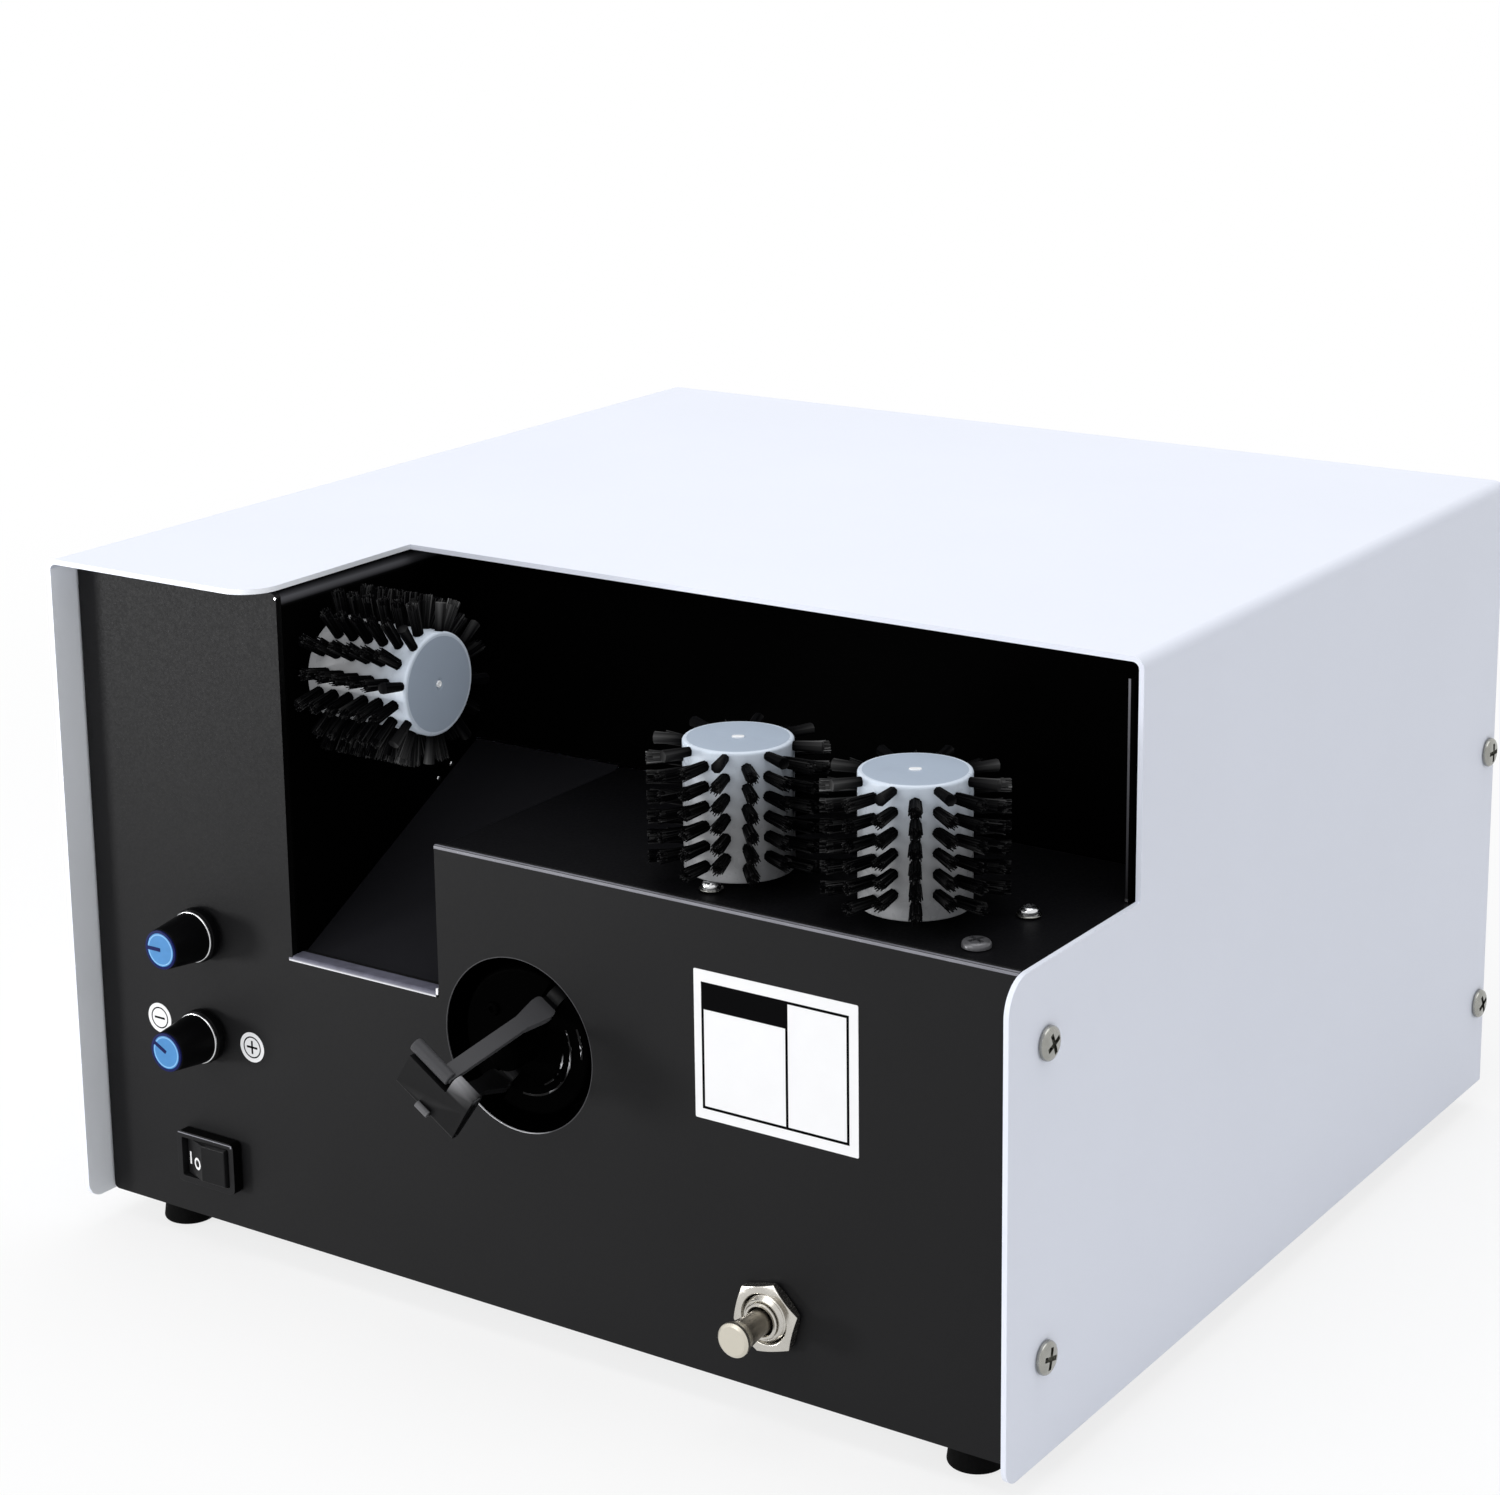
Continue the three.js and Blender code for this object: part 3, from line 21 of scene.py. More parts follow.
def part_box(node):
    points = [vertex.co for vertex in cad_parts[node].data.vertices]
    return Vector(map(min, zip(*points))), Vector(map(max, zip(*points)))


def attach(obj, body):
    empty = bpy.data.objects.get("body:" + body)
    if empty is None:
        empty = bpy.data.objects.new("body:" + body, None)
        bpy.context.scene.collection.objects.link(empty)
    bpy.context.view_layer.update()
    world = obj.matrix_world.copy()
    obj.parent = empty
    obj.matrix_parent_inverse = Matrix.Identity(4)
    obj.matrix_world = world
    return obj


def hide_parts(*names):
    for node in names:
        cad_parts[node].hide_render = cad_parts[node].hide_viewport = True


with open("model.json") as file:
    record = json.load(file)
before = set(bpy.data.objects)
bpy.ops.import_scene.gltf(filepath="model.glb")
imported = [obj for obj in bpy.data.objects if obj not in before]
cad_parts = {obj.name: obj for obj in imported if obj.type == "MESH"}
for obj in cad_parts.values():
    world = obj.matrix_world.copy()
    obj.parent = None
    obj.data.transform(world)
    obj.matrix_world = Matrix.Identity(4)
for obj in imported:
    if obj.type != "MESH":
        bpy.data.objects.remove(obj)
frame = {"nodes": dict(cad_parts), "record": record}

LOG = logging.getLogger("machine")
MM = 0.001
TURN = 2 * math.pi
COVER_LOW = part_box("cover")[0]
TO_FRAME = Matrix.Translation((COVER_LOW.x, COVER_LOW.y, 0)) @ Matrix.Scale(MM, 4)
MACHINE = Matrix.Identity(4)
PANEL_FACE = 9.2
CONTROLS_X = 42
SHARP_DEGREES = 31
GOLDEN_ANGLE = 2.39996
ON_PLANE = 0.05

Corner = Sequence[float]
Loop = list[tuple[float, float]]


class Axis(Enum):
    """Axis that an outline is drawn along or a profile is turned about."""

    X = 0
    Y = 1
    Z = 2

    def lift(self, first: float, second: float, along: float) -> Vector:
        """Places a flat point at a distance along the axis.

        Args:
            first: the flat point's first coordinate, in the order X, Y, Z.
            second: its second coordinate.
            along: the distance along this axis.

        Returns:
            The point in space.
        """
        values = [first, second]
        values.insert(self.value, along)
        return Vector(values)


class Joining(Enum):
    """Ways to combine two closed shapes."""

    CUT = "DIFFERENCE"
    MEET = "INTERSECT"
    WELD = "UNION"


def even(size: float) -> tuple[float, float, float]:
    """Gives a grain that is the same along X, Y and Z."""
    return size, size, size


def linear(colour: Sequence[int]) -> tuple[float, float, float, float]:
    """Turns a colour as it looks, 0 to 255, into the shader's linear values.

    Args:
        colour: red, green and blue as they look.

    Returns:
        Linear red, green, blue and a full alpha.
    """
    values = [(c / 255 / 12.92) if c <= 10 else ((c / 255 + 0.055) / 1.055) ** 2.4 for c in colour]
    return (*values, 1.0)


def feed(node: bpy.types.Node, **inputs: object) -> None:
    """Feeds a node's inputs.

    Args:
        node: the node.
        inputs: a value or a socket for each input, or a list of sockets; in its name _ is a space,
            and nK is input number K.
    """
    for name, value in inputs.items():
        number = name[1:] if name[0] == "n" and name[1:].isdigit() else None
        socket = node.inputs[int(number)] if number else node.inputs[name.replace("_", " ")]
        for part in value if isinstance(value, list) else [value]:
            if isinstance(part, bpy.types.NodeSocket):
                node.id_data.links.new(part, socket)
            else:
                socket.default_value = part


def add_node(tree: bpy.types.NodeTree, kind: str, result: str | int = 0,
             settings: dict[str, object] | None = None, **inputs: object) -> bpy.types.NodeSocket:
    """Adds a node to a tree and feeds its inputs.

    Args:
        tree: the tree.
        kind: the node's type.
        result: the output to return, by name or number.
        settings: the node's own options.
        inputs: what goes into its inputs, named as in feed.

    Returns:
        The chosen output.
    """
    node = tree.nodes.new(kind)
    for option, value in (settings or {}).items():
        setattr(node, option, value)
    feed(node, **inputs)
    return node.outputs[result]


@dataclass(frozen=True)
class Finish:
    """One surface finish with its grain, mottle and bump, in the piece's own coordinates."""

    name: str
    slot: str
    colour: tuple[int, int, int]
    roughness: float
    metallic: float = 0.0
    grain: tuple[float, float, float] = (2.0, 2.0, 2.0)
    depth: float = 0.05
    mottle: float = 0.06
    mottle_size: float = 22.0
    roughness_spread: float = 0.06
    specular: float = 0.5
    edge_wear: float = 0.0
    # Second colour, mixed in by a piece's band attribute; most finishes use it for painted light or
    # painted shade.
    band: tuple[int, int, int] | None = None

    def build(self) -> bpy.types.Material:
        """Makes the material's nodes.

        Returns:
            The material, made once for each finish.
        """
        known = bpy.data.materials.get(self.name)
        if known:
            return known
        material = bpy.data.materials.new(self.name)
        material.use_nodes = True
        add = partial(add_node, material.node_tree)
        place = add("ShaderNodeTexCoord", "Object")

        def clouds(sizes: Sequence[float], detail: float) -> bpy.types.NodeSocket:
            """Adds noise with features of given sizes.

            Args:
                sizes: their sizes along X, Y and Z, in millimetres.
                detail: the number of finer layers.

            Returns:
                The noise, 0 to 1.
            """
            scale = tuple(1 / (MM * size) for size in sizes)
            mapped = add("ShaderNodeMapping", Vector=place, Scale=scale)
            return add("ShaderNodeTexNoise", "Fac", Vector=mapped, Scale=1, Detail=detail)

        def spread(source: bpy.types.NodeSocket, low: float, high: float,
                   middle: tuple[float, float] = (0.3, 0.7)) -> bpy.types.NodeSocket:
            """Maps a range of a value, as a rule the middle of a noise, to another range."""
            return add("ShaderNodeMapRange", "Result", Value=source, From_Min=middle[0],
                       From_Max=middle[1], To_Min=low, To_Max=high)

        def tone(factor: float, lift: float = 0) -> tuple[float, ...]:
            """The finish's colour times a factor, raised by a lift."""
            return (*(min(c * factor + lift, 1) for c in base[:3]), 1)

        def blend(share: bpy.types.NodeSocket, first: object, second: object) -> bpy.types.NodeSocket:
            """Mixes two colours, each a value or a socket, by a share."""
            return add("ShaderNodeMix", 2, {"data_type": "RGBA"}, n0=share, n6=first, n7=second)

        fine = clouds(self.grain, 2)
        base = linear(self.colour)
        colour = blend(spread(clouds([self.mottle_size] * 3, 3), 0, 1), tone(1 - self.mottle),
                       tone(1 + self.mottle))
        colour = blend(spread(fine, 0, self.mottle * 2), colour, tone(1 + 2 * self.mottle))
        if self.band:
            reach = add("ShaderNodeAttribute", "Fac", {"attribute_name": "band"})
            colour = blend(reach, colour, linear(self.band))
        if self.edge_wear:
            point = add("ShaderNodeNewGeometry", "Pointiness")
            colour = blend(spread(point, 0, self.edge_wear, (0.53, 0.62)), colour, tone(4, 0.08))
        low = max(self.roughness - self.roughness_spread, 0.02)
        high = min(self.roughness + self.roughness_spread, 1)
        bump = add("ShaderNodeBump", Strength=self.depth, Height=fine,
                   Distance=MM * min(self.grain) / 4)
        feed(material.node_tree.nodes["Principled BSDF"], Base_Color=colour, Metallic=self.metallic,
             Roughness=spread(fine, low, high), Specular_IOR_Level=self.specular, Normal=bump)
        return material


class Finishes:
    """Every finish of the machine."""

    # Its second colour is painted light: a paler white on the roof's cut edge and the left wall's
    # inside, where the front light falls.
    WHITE = Finish("white_coat", "white_powder_coat", (226, 230, 241), 0.42, grain=even(0.9),
                   depth=0.05, mottle=0.008, mottle_size=60, roughness_spread=0.04, specular=0.35,
                   band=(247, 250, 255))
    # Its second colour is painted shade: a near black on the tower's cut edge, which faces into the
    # dark bay.
    PANEL = Finish("black_coat", "black_powder_coat", (24, 24, 25), 0.5, grain=even(0.7),
                   depth=0.12, mottle=0.05, mottle_size=40, roughness_spread=0.05, specular=0.1,
                   band=(2, 2, 2))
    # Painted shade: the bay's walls take the panel's black coat made near black and almost without
    # gloss, for the shade inside the bay.
    BAY = Finish("bay_painted_shade", "black_powder_coat", (2, 2, 2), 0.6, grain=even(0.7),
                 depth=0.12, mottle=0.08, mottle_size=40, specular=0.006)
    # The tower wall takes the bay's painted shade, with a painted highlight along its top bend as its
    # second colour.
    TOWER = replace(BAY, name="tower_painted_light_and_shade", band=(100, 100, 104))
    # Painted shade: the shelf takes the panel's black coat made darker, for the shade under the bay's
    # roof.
    SHELF = Finish("shelf_painted_shade", "black_powder_coat", (12, 12, 14), 0.5, grain=even(0.7),
                   depth=0.12, mottle=0.08, mottle_size=40, specular=0.04)
    CHUTE = replace(SHELF, name="chute_coat", colour=(27, 27, 30))
    # Painted highlight: a light grey for edges that catch the light; its second colour is painted
    # shade, darker towards the foot of the bay's right wall.
    EDGE = Finish("painted_highlight_edge", "black_powder_coat", (120, 120, 127), 0.4, grain=(0.7, 6, 0.7),
                  depth=0.1, mottle=0.12, mottle_size=9, specular=0.3, band=(8, 8, 9))
    # Painted highlight on the chute's folded lip; its second colour is a brighter painted highlight
    # along the strip's bottom and top.
    LIP = Finish("lip_edge", "black_powder_coat", (95, 95, 108), 0.4, grain=(2.5, 0.5, 0.5),
                 depth=0.12, mottle=0.2, mottle_size=3, specular=0.2, band=(236, 236, 240))
    # Painted highlight on the head hole's front edge, brighter at its bottom left.
    RIM = replace(LIP, name="rim_painted_highlight", colour=(60, 60, 62), band=(186, 186, 189))
    ZINC = Finish("satin_zinc", "zinc_plate", (165, 167, 170), 0.34, metallic=0.9,
                  grain=(1.5, 12, 1.5), depth=0.08, mottle=0.1, mottle_size=9)
    BRIGHT = Finish("polished_steel", "bright_steel", (214, 215, 217), 0.2, metallic=1,
                    grain=even(3), depth=0.03, mottle=0.04, mottle_size=5)
    NICKEL = Finish("warm_nickel", "bright_steel", (196, 193, 186), 0.24, metallic=1,
                    grain=(0.6, 8, 0.6), depth=0.05, mottle=0.05, mottle_size=4)
    STEM = Finish("dull_nickel", "bright_steel", (138, 133, 124), 0.34, metallic=1,
                  grain=(0.5, 6, 0.5), depth=0.1, mottle=0.12, mottle_size=3, band=(206, 201, 188))
    STEEL = Finish("turned_steel", "plain_steel", (150, 151, 153), 0.3, metallic=1,
                   grain=(8, 8, 0.5), depth=0.06, mottle=0.06, mottle_size=6)
    # Painted shade: the near-black base is for the lever's part inside the hole; its second colour is
    # the lever's grey in front of it.
    OXIDE = Finish("black_oxide", "black_oxide_steel", (10, 10, 11), 0.36, grain=even(1.2),
                   depth=0.08, mottle=0.1, mottle_size=6, specular=0.08, edge_wear=0.04,
                   band=(70, 70, 72))
    # Its second colour is a painted highlight on the jaw plate's rounded top and on the lever's end.
    JAW = replace(OXIDE, name="jaw_oxide", colour=(17, 17, 18), roughness=0.4, edge_wear=0.2,
                  band=(150, 150, 153))
    # Painted shade: black oxide made near black and almost without gloss, darker than the levers', for
    # the shade inside the head's hole; the frame's other black oxide solids take it too.
    ROTOR = Finish("rotor_oxide_painted_shade", "black_oxide_steel", (1, 1, 1), 0.5, grain=even(1.2),
                   depth=0.06, mottle=0.12, mottle_size=6, specular=0.003)
    # Painted glints: its second colour is a bright speck on the near-black rotor.
    GLINT = replace(ROTOR, name="painted_glint", specular=0.1, band=(225, 225, 228))
    SCREW = replace(BRIGHT, name="screw_nickel", colour=(156, 156, 151), roughness=0.24,
                    mottle=0.08, mottle_size=3)
    BLACK_SCREW = Finish("black_screw", "black_oxide_steel", (96, 96, 99), 0.35, metallic=0.5,
                         grain=even(1), depth=0.08, mottle=0.1, mottle_size=3)
    BRASS = Finish("machined_brass", "brass", (199, 172, 116), 0.3, metallic=1,
                   grain=(6, 6, 0.5), depth=0.06, mottle=0.06, mottle_size=6)
    # Its second colour is a paler nylon towards the cap: painted light from above, with the real greyer
    # look lower down over the dark tuft roots.
    NYLON = Finish("clear_nylon", "natural_nylon", (146, 147, 149), 0.3, grain=even(3),
                   depth=0.0, mottle=0.012, mottle_size=8, specular=0.35, band=(204, 214, 226))
    CAP = replace(NYLON, name="cap_nylon", colour=(165, 177, 192), roughness=0.4, specular=0.2,
                  band=None)
    # Painted highlight: the near-white glossy pip that stands for the light caught in a cap's dimple.
    DIMPLE_HIGHLIGHT = Finish("painted_dimple_highlight", "natural_nylon", (244, 246, 248), 0.2, grain=even(0.6), depth=0.02,
                  mottle=0.01, mottle_size=1, specular=0.6)
    # Its second colour is painted light: glints on the filaments' ends.
    FILAMENT = Finish("black_filament", "bristle_nylon", (2, 2, 3), 0.6, grain=even(0.4),
                      depth=0.05, mottle=0.3, mottle_size=2.5, specular=0.02, band=(150, 150, 150))
    RUBBER = Finish("moulded_rubber", "foot_rubber", (9, 9, 9), 0.85, grain=even(0.8), depth=0.3,
                    mottle=0.2, mottle_size=5, specular=0.05)
    PLASTIC = Finish("moulded_plastic", "black_plastic", (9, 9, 10), 0.34, grain=even(0.5),
                     depth=0.08, mottle=0.08, mottle_size=6, specular=0.05)
    # Its second colour is painted shade: near black on the bezel's sides.
    BEZEL = Finish("bezel_plastic", "black_plastic", (29, 29, 30), 0.36, grain=even(0.5),
                   depth=0.08, mottle=0.08, mottle_size=6, specular=0.08, band=(3, 3, 3))
    KEY = replace(BEZEL, name="key_plastic", colour=(19, 19, 20), edge_wear=0.3, band=None)
    BLUE = Finish("blue_cap", "black_plastic", (58, 124, 181), 0.4, grain=even(0.5), depth=0.05,
                  mottle=0.05, mottle_size=2, specular=0.3, band=(140, 190, 230))
    NAVY = Finish("navy_pointer", "black_plastic", (10, 19, 76), 0.5, grain=even(0.5), specular=0.1)
    PRINT = Finish("white_print", "white_powder_coat", (232, 232, 233), 0.5, grain=even(0.4),
                   depth=0.03, mottle=0.01, mottle_size=8, specular=0.2)
    INK = Finish("black_ink", "black_plastic", (4, 4, 5), 0.5, grain=even(0.4), depth=0.03,
                 mottle=0.1, mottle_size=8, specular=0.02)
    ALUMINIUM = Finish("bare_aluminium", "aluminium", (190, 192, 195), 0.36, metallic=1,
                       grain=(14, 0.6, 0.6), depth=0.06, mottle=0.06, mottle_size=12)


def rounded(corners: Sequence[Corner], steps: int = 6, closed: bool = True) -> Loop:
    """Rounds the corners of a flat line.

    Args:
        corners: points (first, second) or (first, second, radius).
        steps: the straight pieces of each arc.
        closed: whether the line's ends meet.

    Returns:
        The points of the rounded line.
    """
    if all(len(corner) == 2 for corner in corners):
        return list(corners)
    points: Loop = []
    last = len(corners) - 1
    for i, corner in enumerate(corners):
        at = Vector(corner[:2])
        radius = corner[2] if len(corner) > 2 else 0
        if not radius or (not closed and i in (0, last)):
            points.append((at.x, at.y))
            continue
        before = (Vector(corners[i - 1][:2]) - at).normalized()
        after = (Vector(corners[0 if i == last else i + 1][:2]) - at).normalized()
        half = before.angle(after) / 2
        centre = at + (before + after).normalized() * (radius / math.sin(half))
        start = at + before * (radius / math.tan(half)) - centre
        end = at + after * (radius / math.tan(half)) - centre
        turn = start.angle_signed(end)
        for step in range(steps + 1):
            spoke = Matrix.Rotation(-turn * step / steps, 2) @ start
            points.append((centre.x + spoke.x, centre.y + spoke.y))
    return points


def circle(centre: Corner, radius: float, sides: int = 48) -> Loop:
    """Points of a circle about a flat centre."""
    return [(centre[0] + radius * math.cos(TURN * k / sides),
             centre[1] + radius * math.sin(TURN * k / sides)) for k in range(sides)]


def rectangle(first: Corner, second: Corner, radius: float = 0) -> list[Corner]:
    """Corners of a rectangle between two values on each flat axis, all with one radius."""
    return [(first[0], second[0], radius), (first[1], second[0], radius),
            (first[1], second[1], radius), (first[0], second[1], radius)]


def plain_mesh(thing: bpy.types.Object) -> bpy.types.Mesh:
    """Works out an object's modifiers.

    Args:
        thing: the object.

    Returns:
        The result as a new mesh.
    """
    bpy.context.view_layer.update()
    graph = bpy.context.evaluated_depsgraph_get()
    return bpy.data.meshes.new_from_object(thing.evaluated_get(graph), depsgraph=graph)


def stand(name: str, data: bpy.types.ID) -> bpy.types.Object:
    """Puts a new object into the scene, at the origin.

    Args:
        name: its name.
        data: the mesh, lamp or camera that it holds.

    Returns:
        The object.
    """
    thing = bpy.data.objects.new(name, data)
    bpy.context.scene.collection.objects.link(thing)
    return thing


def points(places: Sequence[Corner]) -> bpy.types.Mesh:
    """Makes loose points for a node tree to start from.

    Args:
        places: the points.

    Returns:
        The mesh that holds them.
    """
    mesh = bpy.data.meshes.new("places")
    mesh.from_pydata([Vector(place) for place in places], [], [])
    return mesh


def smooth_by_angle(mesh: bpy.types.Mesh, degrees: float) -> None:
    """Shades a mesh smooth, with its edges sharp where they turn by more than an angle.

    Args:
        mesh: the mesh.
        degrees: the largest turn that stays smooth.
    """
    mesh.polygons.foreach_set("use_smooth", [True] * len(mesh.polygons))
    mesh.set_sharp_from_angle(angle=math.radians(degrees))


def discard(*things: bpy.types.Object) -> None:
    """Removes helper objects and their meshes."""
    for thing in things:
        mesh = thing.data
        bpy.data.objects.remove(thing)
        bpy.data.meshes.remove(mesh)


class Shape:
    """Closed shape in millimetres, built up from drawn and turned solids."""

    def __init__(self) -> None:
        """Starts an empty shape."""
        self.solid = bmesh.new()

    def draw(self, axis: Axis, corners: Sequence[Corner], low: float, high: float,
             arc: int = 6) -> "Shape":
        """Adds a flat outline drawn along an axis.

        Args:
            axis: the axis to draw along.
            corners: the outline's points, each with a radius if it is rounded.
            low: where it starts.
            high: where it ends.
            arc: the straight pieces of each rounding.

        Returns:
            This shape.
        """
        line = rounded(corners, arc)
        ends = [[self.solid.verts.new(axis.lift(a, b, along)) for a, b in line]
                for along in (low, high)]
        faces = [self.solid.faces.new(ends[0]), self.solid.faces.new(ends[1])]
        count = len(line)
        for i in range(count):
            after = (i + 1) % count
            faces.append(self.solid.faces.new(
                [ends[0][i], ends[0][after], ends[1][after], ends[1][i]]))
        bmesh.ops.recalc_face_normals(self.solid, faces=faces)
        return self

    def block(self, x: Corner, y: Corner, z: Corner) -> "Shape":
        """Adds a block between two values on each axis."""
        return self.draw(Axis.Z, rectangle(x, y), *z)

    def turn(self, axis: Axis, centre: Corner, profile: Sequence[Corner], sides: int = 64,
             arc: int = 5) -> "Shape":
        """Adds a profile turned about a line along an axis.

        Args:
            axis: the direction of the line.
            centre: where the line passes, on the two other axes.
            profile: (radius, place) points, each with its rounding if it has one; a profile off
                the line closes on itself.
            sides: the facets round the line.
            arc: the straight pieces of each rounding.

        Returns:
            This shape.
        """
        rings = []
        for radius, place in rounded(profile, arc, closed=profile[0][0] > 0):
            count = sides if radius > 0 else 1
            rings.append([self.solid.verts.new(axis.lift(
                centre[0] + radius * math.cos(TURN * k / sides),
                centre[1] + radius * math.sin(TURN * k / sides), place)) for k in range(count)])
        pairs = list(zip(rings, rings[1:]))
        if len(rings[0]) > 1:
            pairs.append((rings[-1], rings[0]))
        faces = []
        for lower, upper in pairs:
            for k in range(sides):
                spots = [lower[k % len(lower)], lower[(k + 1) % len(lower)],
                         upper[(k + 1) % len(upper)], upper[k % len(upper)]]
                around = list(dict.fromkeys(spots))
                if len(around) > 2:
                    faces.append(self.solid.faces.new(around))
        bmesh.ops.recalc_face_normals(self.solid, faces=faces)
        return self

    def rod(self, axis: Axis, centre: Corner, radius: float, low: float, high: float,
            sides: int = 48) -> "Shape":
        """Adds a plain round rod along an axis."""
        return self.turn(axis, centre, [(0, low), (radius, low), (radius, high), (0, high)], sides)

    def moved(self, matrix: Matrix) -> "Shape":
        """Moves the whole shape by a matrix."""
        self.solid.transform(matrix)
        return self

    def combine(self, other: "Shape", joining: Joining) -> "Shape":
        """Cuts, meets or welds this shape with another one, which is used up.

        Args:
            other: the second shape.
            joining: how the two combine.

        Returns:
            This shape.
        """
        things = []
        for part in (self, other):
            mesh = bpy.data.meshes.new("helper")
            part.solid.to_mesh(mesh)
            things.append(stand("helper", mesh))
        step = things[0].modifiers.new("combine", "BOOLEAN")
        step.operation = joining.value
        step.solver = "EXACT"
        step.use_self = True
        step.object = things[1]
        result = plain_mesh(things[0])
        self.solid.clear()
        self.solid.from_mesh(result)
        other.solid.free()
        bpy.data.meshes.remove(result)
        discard(*things)
        return self

    def cut(self, other: "Shape") -> "Shape":
        """Cuts another shape away."""
        return self.combine(other, Joining.CUT)

    def weld(self, other: "Shape") -> "Shape":
        """Welds another shape on."""
        return self.combine(other, Joining.WELD)

    def meet(self, other: "Shape") -> "Shape":
        """Keeps what lies inside another shape as well."""
        return self.combine(other, Joining.MEET)

    def score(self, axis: Axis, place: float) -> "Shape":
        """Splits the faces where they pass a place along an axis, so that a shade can end there.

        Args:
            axis: the axis.
            place: the place along it.

        Returns:
            This shape.
        """
        every = [*self.solid.verts, *self.solid.edges, *self.solid.faces]
        bmesh.ops.bisect_plane(self.solid, geom=every, plane_co=axis.lift(0, 0, place),
                               plane_no=axis.lift(0, 0, 1))
        return self

    def repeated(self, places: Sequence[Corner]) -> "Shape":
        """Sets a copy of the shape on each place with a geometry node tree.

        Args:
            places: the step from the shape's own place to each copy.

        Returns:
            This shape, now all the copies.
        """
        mesh = bpy.data.meshes.new("mould")
        self.solid.to_mesh(mesh)
        mould = stand("mould", mesh)
        tree = Growth("copies")
        finish = tree.size("Finish", Finishes.PANEL.build())
        one = tree.add("GeometryNodeObjectInfo", "Geometry", Object=mould)
        copies = tree.copies(tree.source.outputs["Geometry"], one)
        thing = tree.grow("copies", copies, finish, TO_FRAME.inverted(), points(places))
        self.solid.clear()
        self.solid.from_mesh(thing.data)
        discard(mould, thing)
        return self

    def piece(self, name: str, finish: Finish, replaces: Sequence[str] = (), bevel: float = 0.2,
              segments: int = 2, body: str = "housing") -> bpy.types.Object:
        """Turns the shape into a finished piece of the machine.

        Args:
            name: the piece's name.
            finish: its finish.
            replaces: the nodes that it stands for.
            bevel: the width of its edges' rounding, or 0.
            segments: the facets across that rounding.
            body: the body that it rides on.

        Returns:
            The piece, at the origin, with its place in its mesh.
        """
        bmesh.ops.remove_doubles(self.solid, verts=self.solid.verts, dist=0.001)
        bmesh.ops.recalc_face_normals(self.solid, faces=self.solid.faces)
        self.solid.transform(TO_FRAME)
        mesh = bpy.data.meshes.new(name)
        self.solid.to_mesh(mesh)
        self.solid.free()
        smooth_by_angle(mesh, SHARP_DEGREES)
        thing = stand(name, mesh)
        if bevel:
            step = thing.modifiers.new("edges", "BEVEL")
            step.width = MM * bevel
            step.segments = segments
            step.limit_method = "ANGLE"
            step.angle_limit = math.radians(SHARP_DEGREES)
            shading = thing.modifiers.new("shading", "WEIGHTED_NORMAL")
            shading.keep_sharp = True
            smooth = plain_mesh(thing)
            thing.modifiers.clear()
            thing.data = smooth
            bpy.data.meshes.remove(mesh)
            smooth.name = name
        return dress(thing, finish, body, replaces)


def dress(thing: bpy.types.Object, finish: Finish, body: str,
          replaces: Sequence[str] = ()) -> bpy.types.Object:
    """Gives a piece its finish and body, hides the nodes that it stands for, and reports it.

    Args:
        thing: the piece.
        finish: its finish.
        body: the body that it rides on.
        replaces: the nodes that it stands for.

    Returns:
        The piece.
    """
    thing.data.materials.clear()
    thing.data.materials.append(finish.build())
    if replaces:
        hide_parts(*replaces)
    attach(thing, body)
    LOG.info("%s: %d faces on %s", thing.name, len(thing.data.polygons), body)
    return thing


def shade(thing: bpy.types.Object, rule: Callable[[Vector], float], matrix: Matrix = MACHINE,
          by_face: bool = False) -> None:
    """Writes how far each point or face of a piece takes its finish's second colour.

    Args:
        thing: the piece.
        rule: gives the share, 0 to 1, at a point.
        matrix: the place of the frame, in millimetres, that the rule reads points in.
        by_face: whether a whole face takes the share at its middle.
    """
    home = (TO_FRAME @ matrix).inverted()
    places = [face.center for face in thing.data.polygons] if by_face else [
        point.co for point in thing.data.vertices]
    band = thing.data.attributes.new("band", "FLOAT", "FACE" if by_face else "POINT")
    band.data.foreach_set("value", [float(min(max(rule(home @ place), 0), 1)) for place in places])


